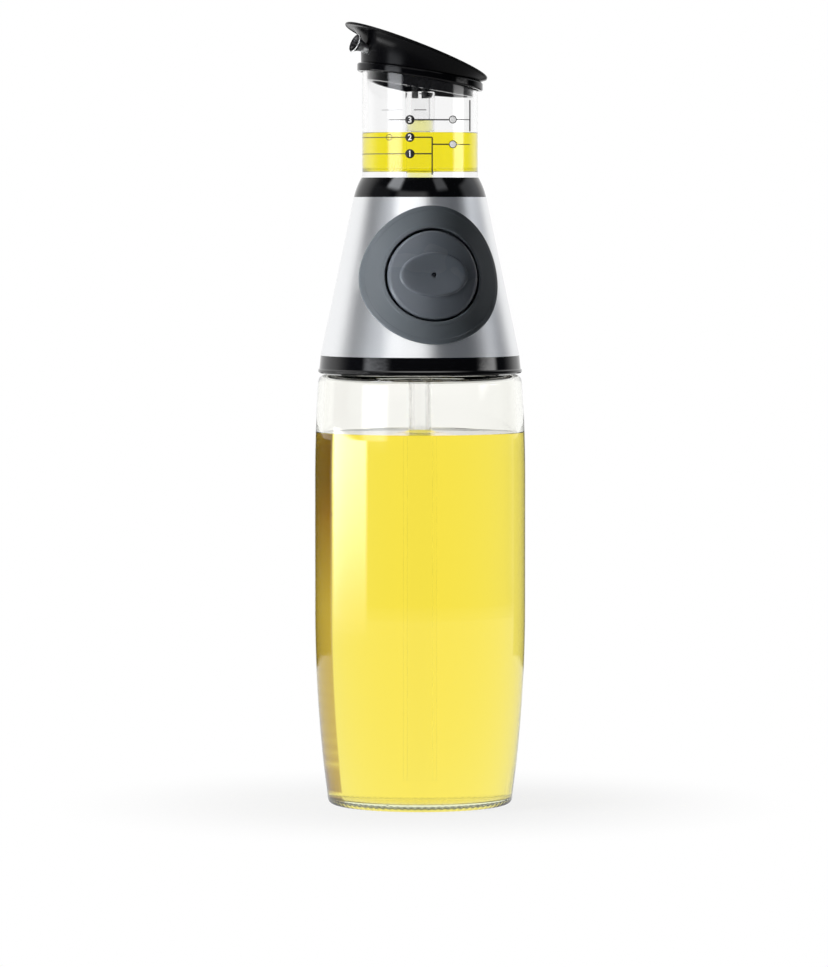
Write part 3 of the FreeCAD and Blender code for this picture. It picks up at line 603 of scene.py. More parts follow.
def inner_side(s, at):
    """Which of the glass's points lie on its inner side, below the shoulder."""
    past_middle, near_floor, shoulder_walls = 0.7, 0.8, 2
    inner = np.hypot(at[:, 0], at[:, 1]) < barrel(s, at[:, 2]) - past_middle * s.wall
    above = at[:, 2] > near_floor * s.base
    return inner & above & (at[:, 2] < s.height - shoulder_walls * s.top_wall)


def oil_wall(s, at):
    """Which of the oil's points lie against the glass and not on the oil's surface."""
    skin = 0.2
    outer = np.hypot(at[:, 0], at[:, 1]) > barrel(s, at[:, 2]) - s.wall
    return outer | (at[:, 2] < s.oil_z - skin)


def meniscus(r, wall_r, core_r, level, wall_rise, core_rise):
    """Liquid height over r: level in the open, climbing by the given rises at the wall and at the core."""
    reach = 1.6
    past_core = np.maximum(r - core_r, 0.0)
    return level + wall_rise * np.exp(-(wall_r - r) / reach) + core_rise * np.exp(-past_core / reach)


def inwards(radius, count):
    """Radii from the wall to the axis, closer together at both ends."""
    return radius * (0.5 + 0.5 * np.cos(math.pi * np.linspace(0, 1, count)))


def bottle_oil_grid(s):
    """Oil: the inner wall's outline grown a little into the glass, closed by menisci, turned about Z."""
    grow = 0.12
    inset = s.wall - grow
    low = s.base - grow
    line = barrel_line(s, low, s.oil_z + s.meniscus, inset)
    line[0] = line[0][:2] + (s.base_fillet,)
    shell = rounded([(0.0, low, 0.0)] + line[:1] + line[3:])
    wall_r = shell[-1, 0]
    r = inwards(wall_r, 60)
    top = np.stack([r, meniscus(r, wall_r, s.tube_r, s.oil_z, s.meniscus, s.tube_climb)], 1)
    return lathe(np.concatenate([shell, top[1:]]), 256), True, False


def tube_grid(outer, bore, low, high, segments=96):
    """Straight tube wall with softly rounded ends, turned about Z."""
    soft = 0.3
    middle = ((outer + bore) / 2, low, 0.0)
    sides = [(outer, low, soft), (outer, high, soft), (bore, high, soft), (bore, low, soft)]
    return lathe(rounded([middle, *sides, middle], 4)[:-1], segments), True, True


# Button, on its own axis: X across, Y up the cone's side, D outward

def lean(s):
    """Half angle of the cone, its sine and its cosine."""
    a = math.atan((s.cone_low_r - s.cone_high_r) / s.cone_h)
    return a, math.sin(a), math.cos(a)


def button_base(s):
    """Distance of the cone's face along the button's axis, and the height where that axis starts."""
    a, _, ca = lean(s)
    z = s.cone_z + s.rise
    r = s.cone_low_r - s.rise * math.tan(a)
    return r / ca, z - r * math.tan(a)


def to_frame(s, x, y, d):
    """Points given across, up and out along the button's axis, in the frame's axes."""
    _, sa, ca = lean(s)
    _, axis_z = button_base(s)
    return np.stack([x, y * sa - d * ca, axis_z + y * ca + d * sa], -1)


def cone_depth(s, x, y, proud):
    """Distance out along the button's axis at which a point lies on the cone's side moved out by proud.

    It is the larger root of the quadratic that puts the point's radius on the cone.
    """
    a, sa, ca = lean(s)
    ta = math.tan(a)
    _, axis_z = button_base(s)
    k = s.cone_low_r - (axis_z - s.cone_z) * ta + proud / ca
    qa = ca * ca - sa * sa * ta * ta
    qb = -2 * y * sa * ca + 2 * (k - y * sa) * sa * ta
    qc = x * x + (y * sa) ** 2 - (k - y * sa) ** 2
    return (-qb + np.sqrt(qb * qb - 4 * qa * qc)) / (2 * qa)


def smooth(t):
    """Smooth step from 0 to 1."""
    t = np.clip(t, 0, 1)
    return t * t * (3 - 2 * t)


def button_grid(s, segments=224):
    """Button: rows run from the air hole out to the oval's edge, on to the round edge and down the side.

    The face is a cylinder, raised by a smooth step inside the oval, less a dish that falls off with the
    square of the way to the oval's edge, less the air hole's smooth step.
    """
    step_at, step_width = 0.985, 0.05
    dish_reach, dish_power = 0.93, 1.2
    hole_depth, hole_at, hole_width = 2.2, 0.8, 0.25
    face_d, _ = button_base(s)
    ang = circle(segments)
    ca, sa = np.cos(ang), np.sin(ang)
    hole_in = np.array([0.0, 0.5, 0.75, 0.88, 0.96, 1.0, 1.05, 1.15, 1.4]) * s.hole_r
    start = hole_in[-1]
    w = np.r_[np.linspace(0.0, 0.9, 22), np.linspace(0.915, 1.06, 16)]
    v = np.r_[0.03, np.linspace(0.08, 0.85, 12), 0.92, 0.96, 0.985, 1.0]
    x1, y1 = hole_in * ca, hole_in * sa
    x2 = (start + (s.oval_w - start) * w[None, 1:]) * ca
    y2 = (start + (s.oval_h - start) * w[None, 1:]) * sa
    ex, ey = x2[:, -1:], y2[:, -1:]
    inner_r = s.radius - s.edge
    x3 = ex + (inner_r * ca - ex) * v[None]
    y3 = ey + (inner_r * sa - ey) * v[None]
    turn = np.linspace(0, math.pi / 2, 9)[None, 1:]
    x4 = (inner_r + s.edge * np.sin(turn)) * ca
    y4 = (inner_r + s.edge * np.sin(turn)) * sa
    x = np.concatenate([x1, x2, x3, x4], 1)
    y = np.concatenate([y1, y2, y3, y4], 1)
    e = np.sqrt((x / s.oval_w) ** 2 + (y / s.oval_h) ** 2)
    d = face_d + s.proud - (s.face_r - np.sqrt(s.face_r ** 2 - x ** 2))
    d = d + s.oval_rise * (1 - smooth((e - step_at) / step_width))
    d = d - s.dish * np.clip(1 - (e / dish_reach) ** 2, 0, 1) ** dish_power
    d = d - hole_depth * (1 - smooth((np.hypot(x, y) / s.hole_r - hole_at) / hole_width))
    d[:, -turn.size:] -= s.edge * (1 - np.cos(turn))
    low = face_d + s.proud - s.depth
    side = np.linspace(0.06, 1, 4)[None]
    back = np.linspace(1, 0, 5)[None, 1:]
    share = np.concatenate([np.ones_like(side), back], 1)
    down = d[:, -1:] + (low - d[:, -1:]) * side
    x = np.concatenate([x, s.radius * ca * share], 1)
    y = np.concatenate([y, s.radius * sa * share], 1)
    d = np.concatenate([d, down, np.full((segments, back.size), low)], 1)
    return outward((to_frame(s, x, y, d), True, False))


def bezel_grid(s, segments=224):
    """Bezel: rows run from under the outer edge over a rounded lip and a flat ring, then down the bore.

    The outline's heights are distances from the cone's side, so the ring follows the cone.
    """
    p = s.bezel_proud
    sunk = p - 0.08
    skirt, under, bottom, seat = 0.06, -1.2, -5.0, 1.2
    outer_lip, outer_step, inner_step, inner_lip = 1.5, 1.75, 1.6, 1.35
    lip_round, step_round, bore_round = 0.55, 0.25, 0.45
    outline = rounded([
        (s.bezel_r - 1.0, under, 0.0),
        (s.bezel_r - 0.5, under, 0.0),
        (s.bezel_r, skirt, 0.1),
        (s.bezel_r, p, lip_round),
        (s.bezel_r - outer_lip, p, step_round),
        (s.bezel_r - outer_step, sunk, 0.2),
        (s.bezel_bore + inner_step, sunk, step_round),
        (s.bezel_bore + inner_lip, p, step_round),
        (s.bezel_bore, p, bore_round),
        (s.bezel_bore, bottom, 0.3),
        (s.bezel_bore + seat, bottom, 0.0),
    ])
    ang = circle(segments)
    rho = outline[None, :, 0]
    x, y = rho * np.cos(ang), rho * np.sin(ang)
    d = cone_depth(s, x, y, np.broadcast_to(outline[None, :, 1], x.shape))
    return to_frame(s, x, y, d), True, True


# Chamber

def slant(points, s, low):
    """Shears heights above low so that the rim plane at rim_z falls away from the spout by the tilt."""
    t = np.clip((points[..., 2] - low) / (s.rim_z - low), 0, 1)
    turn = math.radians(s.turn)
    away = points[..., 0] * math.cos(turn) + points[..., 1] * math.sin(turn)
    points[..., 2] -= t * away * math.tan(math.radians(s.tilt))
    return points


def chamber_grid(s):
    """Clear cup: spigot, foot, outer wall, slanted rim, inner wall and floor as one outline about Z."""
    bore = s.radius - s.wall
    under = s.floor_z - s.floor_t
    foot_top = s.foot_z + s.foot_h
    spigot_round, under_round, foot_round, step_round, rim_round = 0.4, 0.6, 0.3, 0.2, 0.35
    cup = rounded([
        (s.riser_bore, s.riser_low, 0.0),
        (s.riser_r, s.riser_low, spigot_round),
        (s.riser_r, under, under_round),
        (bore, under, under_round),
        (bore, s.foot_z, foot_round),
        (s.foot_r, s.foot_z, foot_round),
        (s.foot_r, foot_top, step_round),
        (s.radius, foot_top, step_round),
        (s.radius, s.slant_z, 0.0),
        (s.radius, s.rim_z, rim_round),
        (bore, s.rim_z, rim_round),
        (bore, s.rim_z - s.plug, 0.0),
        (bore, s.slant_z, 0.0),
        (bore, s.oil_z, 0.0),
        (bore, s.floor_z, s.floor_fillet),
        (s.riser_bore, s.floor_z, 0.0),
        (s.riser_bore, s.riser_low, 0.0),
    ])
    return slant(lathe(cup), s, s.slant_z), True, False


def cup_side(s, at):
    """Which of the cup's points lie on its inner side, above its floor."""
    past_middle, skin = 0.7, 0.1
    inner = np.hypot(at[:, 0], at[:, 1]) < s.radius - past_middle * s.wall
    return inner & (at[:, 2] > s.floor_z - skin)


def chamber_oil_grid(s):
    """Measured oil with the column under it, grown a little into the cup and closed by menisci."""
    grow, foot_gap, foot_round = 0.1, 1.0, 0.3
    bore = s.radius - s.wall + grow
    column = s.riser_bore + grow
    low = s.floor_z - grow
    foot = s.riser_low + foot_gap
    shell = rounded([
        (0.0, foot, 0.0),
        (column, foot, foot_round),
        (column, low, 0.0),
        (bore, low, s.floor_fillet),
        (bore, s.oil_z + s.meniscus, 0.0),
    ])
    r = inwards(bore, 48)
    top = np.stack([r, meniscus(r, bore, s.riser_r, s.oil_z, s.meniscus, s.meniscus)], 1)
    return lathe(np.concatenate([shell, top[1:]]), 160), True, False


def riser_oil_grid(s):
    """Oil standing in the riser above the measured oil, grown a little into its wall."""
    grow, foot_round = 0.08, 0.3
    bore = s.riser_bore + grow
    low = s.oil_z + 2 * s.meniscus
    shell = rounded([(0.0, low, 0.0), (bore, low, foot_round), (bore, s.riser_oil_z + s.meniscus, 0.0)])
    r = np.linspace(bore, 0.0, 14)
    top = np.stack([r, s.riser_oil_z + s.meniscus * (r / bore) ** 2], 1)
    return lathe(np.concatenate([shell, top[1:]]), 72), True, False


# Printed scale: places given as millimetres to the right of the axis seen from the camera, and heights

def ink_points(s, azimuth, x, z, lift):
    """Points on the chamber's outside at camera-side offset x and height z, lifted off by lift."""
    r = s.radius + lift
    turn = azimuth + np.arcsin(np.clip(x / r, -1, 1))
    return np.stack([r * np.sin(turn), -r * np.cos(turn), z], -1)


def ink_bar(s, azimuth, x0, x1, z0, z1, lift):
    """Printed bar between two offsets and two heights, following the wall."""
    points_per_mm = 3
    u = np.linspace(x0, x1, max(2, int(abs(x1 - x0) * points_per_mm) + 2))[:, None]
    v = np.linspace(z0, z1, 2)[None]
    x, z = np.broadcast_arrays(u, v)
    return ink_points(s, azimuth, x, z, lift), False, False


def ink_ring(s, azimuth, x, z, r_in, r_out, lift):
    """Printed ring or disc, following the wall."""
    ang = circle(48)
    rho = np.linspace(r_in, r_out, 3)[None]
    return outward((ink_points(s, azimuth, x + rho * np.cos(ang), z + rho * np.sin(ang), lift), True, False))


def digit_piece(name, s, azimuth, text, x, z, height, lift, material):
    """A plain figure from the built-in font, laid on the chamber's wall."""
    boldness = 0.025
    curve = bpy.data.curves.new(name + "_font", "FONT")
    curve.body = text
    curve.align_x = "CENTER"
    curve.align_y = "CENTER"
    curve.size = 1.0
    curve.offset = boldness
    source = bpy.data.objects.new(name + "_source", curve)
    bpy.context.scene.collection.objects.link(source)
    bpy.context.view_layer.update()
    mesh = bpy.data.meshes.new_from_object(source.evaluated_get(bpy.context.evaluated_depsgraph_get()))
    bpy.data.objects.remove(source)
    bpy.data.curves.remove(curve)
    mesh.name = name
    co = np.empty(len(mesh.vertices) * 3, np.float32)
    mesh.vertices.foreach_get("co", co)
    co = co.reshape(-1, 3)
    mid = (co.max(0) + co.min(0)) / 2
    flat = (co - mid) * height / np.ptp(co[:, 1])
    placed = ink_points(s, azimuth, x + flat[:, 0], z + flat[:, 1], lift) * MM
    mesh.vertices.foreach_set("co", placed.astype(np.float32).ravel())
    mesh.update()
    mesh.materials.clear()
    mesh.materials.append(material)
    obj = bpy.data.objects.new(name, mesh)
    bpy.context.scene.collection.objects.link(obj)
    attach(obj, "pump_head")
    return obj


# Lid

def lid_ends(s, t):
    """Left x and z, right x and z, and half width of the cover's slanted ovals at shares t from seam to rim.

    The left end runs out by a power of the share and rises ever more slowly; the rest runs straight.
    """
    drop = math.tan(math.radians(s.tilt)) * s.foot_r
    left_x = -s.foot_r - s.visor_reach * t ** s.visor_curl
    left_z = drop + s.visor_rise * (1 - (1 - t) ** s.visor_sweep)
    right_x = s.foot_r + s.tail_reach * t
    right_z = s.tail_rise * t - drop
    return np.stack([left_x, left_z, right_x, right_z, s.foot_r + s.side_flare * t], 1)


def oval_rows(s, ends, inset, ang, lift=0.0):
    """Slanted ovals through the given ends, drawn in by inset and moved along their own normal by lift."""
    lx, lz, rx, rz, half_w = ends.T
    ax, az = rx - lx, rz - lz
    span = np.hypot(ax, az)
    ax, az = ax / span, az / span
    half = span / 2 - inset
    width = half_w - inset
    cx = (lx + rx) / 2 - az * lift
    cz = (lz + rz) / 2 + ax * lift
    c, q = np.cos(ang), np.sin(ang)
    return np.stack([cx + half * ax * c, width * q, s.seam_z + cz + half * az * c], -1)


def filled_oval(s, end, inset, share, ang, lift=0.0):
    """Ovals inside the given one, at shares of its size, drawn in by inset at its edge."""
    ends = np.repeat(end, share.size, 0)
    half = np.hypot(ends[:, 2] - ends[:, 0], ends[:, 3] - ends[:, 1]) / 2
    rows = oval_rows(s, ends, inset + (half - inset) * (1 - share), ang, lift)
    rows[..., 1] = (ends[:, 4] - inset) * share * np.sin(ang)
    return rows


def cover_grid(s, segments=224):
    """Cover: ceiling, inner wall, foot, outer wall, rounded rim and dome, as one run of slanted ovals."""
    hollow = 0.5
    round_in = 0.45
    rim_rows = 14
    ang = circle(segments)
    inner = lid_ends(s, np.linspace(0, hollow, 14))
    outer = lid_ends(s, np.linspace(0, 1, 44))
    ceiling = filled_oval(s, inner[-1:], s.wall, np.linspace(0, 0.94, 5), ang)
    inside = oval_rows(s, inner[::-1], s.wall, ang)
    foot_in = np.array([s.wall - 0.1, 0.35, 0.1, 0.0])
    foot_lift = np.array([0.0, 0.0, 0.02, 0.15])
    foot = oval_rows(s, np.repeat(outer[:1], foot_in.size, 0), foot_in, ang, foot_lift)
    outside = oval_rows(s, outer[1:-1], 0.0, ang)
    turn = np.linspace(-math.pi / 2, math.pi / 2, rim_rows)
    edge = 0.5 * s.rim_t
    rim_in = round_in - round_in * np.cos(turn)
    rim = oval_rows(s, np.repeat(outer[-1:], rim_rows, 0), rim_in, ang, edge + edge * np.sin(turn))
    share = np.r_[0.985, 0.96, np.linspace(0.92, 0, 22)]
    top = filled_oval(s, outer[-1:], round_in, share, ang, s.rim_t + s.dome * (1 - share ** 2))
    return turned(np.concatenate([ceiling, inside, foot, outside, rim, top], 1), s.turn), True, False


def turned(points, degrees):
    """Points turned about Z."""
    a = math.radians(degrees)
    x = points[..., 0] * math.cos(a) - points[..., 1] * math.sin(a)
    y = points[..., 0] * math.sin(a) + points[..., 1] * math.cos(a)
    return np.stack([x, y, points[..., 2]], -1)


def on_spout(s, grid):
    """A grid made about Z, moved onto the spout's axis with its root end inside the lid."""
    a = math.radians(90 - s.spout_angle)
    x = grid[..., 0] * math.cos(a) - grid[..., 2] * math.sin(a) + s.spout_root
    z = grid[..., 0] * math.sin(a) + grid[..., 2] * math.cos(a) + s.seam_z + s.spout_rise
    return turned(np.stack([x, grid[..., 1], z], -1), s.spout_turn)


def spout_flare(s, radius, count=18):
    """Trumpet outline from the neck to the mouth: the radius grows with the square of the way along."""
    t = np.linspace(0, 1, count)
    z = s.spout_length - s.spout_flare * (1 - t)
    return np.stack([radius + (s.spout_mouth - s.spout_r) * t ** 2, z], 1)


def spout_grid(s):
    """Spout, about its axis: straight neck, trumpet flare, lip that turns in, flare and bore to the root."""
    lip_start = -0.4
    wall = s.spout_r - s.spout_bore
    along = np.linspace(0, s.spout_length - s.spout_flare, 6)
    neck = np.stack([np.full(along.size, s.spout_r), along], 1)
    flare = spout_flare(s, s.spout_r)
    turn = np.linspace(lip_start, math.pi, 12)
    lip = flare[-1] + wall / 2 * np.stack([np.cos(turn) - 1, np.sin(turn)], 1)
    inner = spout_flare(s, s.spout_bore)[:-1][::-1]
    bore = np.stack([np.full(along.size, s.spout_bore), along[::-1]], 1)
    line = np.concatenate([neck[:-1], flare[:-1], lip, inner, bore[1:]])
    return on_spout(s, lathe(line, 72)), True, True


def spout_inside(s, at):
    """Which of the spout's points lie nearer its axis than the middle of its wall."""
    ends = on_spout(s, np.array([[0.0, 0.0, 0.0], [0.0, 0.0, 1.0]]))
    axis = ends[1] - ends[0]
    off = at - ends[0]
    along = off @ axis
    radius = np.linalg.norm(off - along[:, None] * axis, axis=1)
    t = np.clip((along - s.spout_length + s.spout_flare) / s.spout_flare, 0, 1)
    return radius < (s.spout_r + s.spout_bore) / 2 + (s.spout_mouth - s.spout_r) * t ** 2


# Operators

class OILBOTTLE_OT_bottle(bpy.types.Operator):
    """Glass bottle, its oil and the dip tube."""

    bl_idname = "oilbottle.bottle"
    bl_label = "Bottle"

    def execute(self, context):
        s = sizes(context.scene.oilbottle_bottle)
        c = context.scene.oilbottle_colours
        glass = clear_material("bottle_glass", c.glass, ior=1.5, scale=18.0, wave=0.02,
                               absorb=c.glass_volume, density=16.0, wet="wet")
        oil = clear_material("bottle_oil_clear", UNCOLOURED, ior=1.47, scale=30.0,
                             absorb=c.oil_volume, density=55.0, wet="wet")
        dry = clear_material("tube_clear", UNCOLOURED, ior=1.49, scale=60.0, alpha=0.5)
        # Against the oil the tube bends light only as much as the two differ.
        soaked = clear_material("tube_in_oil", UNCOLOURED, ior=1.015, scale=60.0, alpha=0.6)
        body = mesh_piece("bottle_body", [bottle_grid(s)], "bottle", glass, ["glass_bottle"])
        mark_faces(body, "wet", lambda at: inner_side(s, at))
        fill = mesh_piece("bottle_oil_body", [bottle_oil_grid(s)], "bottle", oil, ["bottle_oil"])
        mark_faces(fill, "wet", lambda at: oil_wall(s, at))
        split = s.oil_z + 0.5 * s.meniscus
        above = tube_grid(s.tube_r, s.tube_bore, split, s.tube_high)
        mesh_piece("tube_above_oil", [above], "pump_head", dry, ["dip_tube"])
        under = tube_grid(s.tube_r, s.tube_bore, s.tube_low, split)
        mesh_piece("tube_in_oil", [under], "pump_head", soaked)
        return {"FINISHED"}


class OILBOTTLE_OT_head(bpy.types.Operator):
    """Collar, cone, upper ring and the pieces inside them."""

    bl_idname = "oilbottle.head"
    bl_label = "Pump head"

    def execute(self, context):
        c = context.scene.oilbottle_colours
        black = plastic_material("gloss_black", c.black, rough=(0.05, 0.09), grain=0.02, grain_scale=900.0,
                                 shine=0.35)
        silver = metal_material("satin_silver", c.silver, rough=(0.27, 0.32), grain=0.10, grain_scale=2500.0)
        inner = plastic_material("inner_moulding", c.inner, rough=(0.45, 0.6), grain=0.1, grain_scale=1200.0)
        silicone = plastic_material("silicone", c.silicone, rough=(0.5, 0.65), grain=0.08, grain_scale=800.0)
        wire = metal_material("spring_wire", c.steel, rough=(0.22, 0.32), grain=0.1, grain_scale=900.0)
        for finish, nodes in (
            (black, ("screw_collar", "upper_ring", "riser_crown")),
            (silver, ("silver_cone",)),
            (inner, ("pump_frame", "diaphragm_clamp")),
            (silicone, ("neck_gasket", "air_valve", "air_diaphragm", "riser_seal", "lid_seal")),
            (wire, ("return_spring",)),
        ):
            for node in nodes:
                dress(node, finish)
        return {"FINISHED"}


class OILBOTTLE_OT_button(bpy.types.Operator):
    """Bezel ring and press button."""

    bl_idname = "oilbottle.button"
    bl_label = "Button"

    def execute(self, context):
        s = sizes(context.scene.oilbottle_button)
        c = context.scene.oilbottle_colours
        ring = plastic_material("bezel_grey", c.bezel, rough=(0.28, 0.34), grain=0.06, grain_scale=1500.0,
                                shine=0.25)
        face = plastic_material("button_grey", c.button, rough=(0.24, 0.30), grain=0.06, grain_scale=1500.0,
                                shine=0.35)
        mesh_piece("bezel_ring", [bezel_grid(s)], "pump_head", ring, ["button_bezel"])
        mesh_piece("button_cap", [button_grid(s)], "button", face, ["press_button"])
        return {"FINISHED"}


class OILBOTTLE_OT_chamber(bpy.types.Operator):
    """Clear chamber, its oil and the printed scale."""

    bl_idname = "oilbottle.chamber"
    bl_label = "Measuring chamber"

    def execute(self, context):
        s = sizes(context.scene.oilbottle_chamber)
        c = context.scene.oilbottle_colours
        clear = clear_material("chamber_clear", c.clear, ior=1.49, scale=30.0, wave=0.02, wet="wet")
        dry = clear_material("riser_clear", c.clear, ior=1.49, scale=60.0)
        soaked = clear_material("riser_in_oil", UNCOLOURED, ior=1.02, scale=60.0, wave=0.02)
        oil = clear_material("chamber_oil_clear", UNCOLOURED, ior=1.47, scale=30.0,
                             absorb=c.chamber_volume, density=140.0)
        cup = chamber_grid(s)
        body = mesh_piece("chamber_body", [cup], "pump_head", clear, ["measuring_chamber"])
        mark_faces(body, "wet", lambda at: cup_side(s, at))
        mesh_piece("chamber_oil_body", [chamber_oil_grid(s)], "pump_head", oil, ["chamber_oil"])
        mesh_piece("riser_oil", [riser_oil_grid(s)], "pump_head", oil)
        split = s.oil_z + 0.5 * s.meniscus
        above = tube_grid(s.riser_r, s.riser_bore, split, s.riser_top)
        mesh_piece("riser_above_oil", [above], "pump_head", dry)
        under = tube_grid(s.riser_r, s.riser_bore, s.floor_z, split)
        mesh_piece("riser_in_oil", [under], "pump_head", soaked)
        self.scale(s, c, context.scene.oilbottle_stage)
        return {"FINISHED"}

    def scale(self, s, c, stage):
        """Printed lines, badges and figures, placed from their columns and rows in the photo; the figures
        and pale spots also glow, which is painted light.
        """
        badge_x, spot_x, stem_x, edge_x = 410, 452.5, 432, 469.5
        left_x, short_x, ring_x = 362, 389, 389.5
        rows = {"3": 120.7, "2": 138.0, "1": 154.3}
        spots = (120.4, 144.9)
        top_y, stem_y, edge_top_y, edge_low_y = 111, 175, 101, 132
        top_left, top_right = (382, 402), (414, 426)
        over, spot_edge, ring_line, ring_share = 0.02, 0.3, 0.2, 0.8
        # glow is painted light: the emission strength given to the figures and pale spots.
        figure_layers, glow = 2.5, 0.6
        az = stage.azimuth
        print_finish = {"rough": (0.4, 0.5), "grain": 0.05, "grain_scale": 2000.0}
        ink = plastic_material("scale_ink", c.ink, **print_finish)
        grey = plastic_material("scale_grey", c.grey_ink, **print_finish)
        white = plastic_material("scale_figures_painted_glow", c.digit, **print_finish, spread=0.03)
        # Painted light: the figures and pale spots glow in their own colour, so they read white under the
        # dim front light; they are no lamp.
        lit = white.node_tree.nodes["Principled BSDF"]
        feed(white.node_tree, lit, {"Emission Color": tuple(c.digit), "Emission Strength": glow})

        def at(x, y):
            """Millimetres right of the axis and height of a spot in the photo."""
            right = (x - stage.axis_px) * stage.mm_per_px
            return right, stage.eye_z / MM + (stage.horizon_px - y) * stage.mm_per_px

        def across(x0, x1, y, weight):
            """Level bar between two columns."""
            a, z = at(x0, y)
            b, _ = at(x1, y)
            return ink_bar(s, az, a, b, z - weight / 2, z + weight / 2, s.ink_lift)

        def upright(x, y0, y1, weight):
            """Upright bar between two rows."""
            a, z0 = at(x, y0)
            _, z1 = at(x, y1)
            return ink_bar(s, az, a - weight / 2, a + weight / 2, z1, z0, s.ink_lift)

        def disc(x, y, r, layers=1, hole=0.0):
            """Disc or ring on top of so many layers of ink."""
            a, z = at(x, y)
            return ink_ring(s, az, a, z, hole, r, s.ink_lift + layers * over)

        marks = [across(badge_x, spot_x, rows["3"], s.bold_line)]
        marks += [across(badge_x, stem_x, rows[k], s.bold_line) for k in "21"]
        marks += [across(stem_x, spot_x, spots[1], s.bold_line)]
        marks += [upright(stem_x, rows["2"], stem_y, s.bold_line)]
        marks += [disc(badge_x, y, s.badge_r) for y in rows.values()]
        fine = [across(*top_left, top_y, s.line / 2), across(*top_right, top_y, s.line)]
        fine += [across(short_x, badge_x, rows["3"], s.line)]
        fine += [across(left_x, badge_x, rows[k], s.line) for k in "21"]
        fine += [across(spot_x, edge_x, y, s.line) for y in spots]
        fine += [upright(edge_x, edge_top_y, edge_low_y, s.bold_line)]
        fine += [disc(spot_x, y, s.spot_r) for y in spots]
        ring_r = s.spot_r * ring_share
        fine += [disc(ring_x, rows["2"], ring_r, hole=ring_r - ring_line)]
        pale = [disc(spot_x, y, s.spot_r - spot_edge, 2) for y in spots]
        for name, grids, finish in (
            ("scale_marks", marks, ink),
            ("scale_fine_marks", fine, grey),
            ("scale_spots", pale, white),
        ):
            thicken(mesh_piece(name, grids, "pump_head", finish), s.ink_depth)
        for text, y in rows.items():
            a, z = at(badge_x, y)
            lift = s.ink_lift + figure_layers * over
            thicken(digit_piece("scale_" + text, s, az, text, a, z, s.figure_h, lift, white), s.ink_depth)


class OILBOTTLE_OT_lid(bpy.types.Operator):
    """Slanted lid cover, its base and its spout."""

    bl_idname = "oilbottle.lid"
    bl_label = "Lid"

    def execute(self, context):
        s = sizes(context.scene.oilbottle_lid)
        c = context.scene.oilbottle_colours
        black = plastic_material("lid_black", c.black, rough=(0.18, 0.25), grain=0.02, grain_scale=900.0,
                                 shine=0.08)
        base = plastic_material("lid_base_black", c.black, rough=(0.06, 0.10), grain=0.02, grain_scale=900.0,
                                shine=0.15)
        steel = metal_material("bright_steel", c.steel, rough=(0.16, 0.24), grain=0.01, grain_scale=150.0,
                               metallic=0.5)
        # Painted shade: the faces inside the spout take the near-black shade colour in place of the steel's.
        darken(steel, "inside", c.dark_steel)
        mesh_piece("cover_shell", [cover_grid(s)], "lid", black, ["lid_cover"])
        dress("lid_base", base)
        spout = mesh_piece("spout_shell", [spout_grid(s)], "lid", steel, ["pour_spout"])
        mark_faces(spout, "inside", lambda at: spout_inside(s, at))
        return {"FINISHED"}


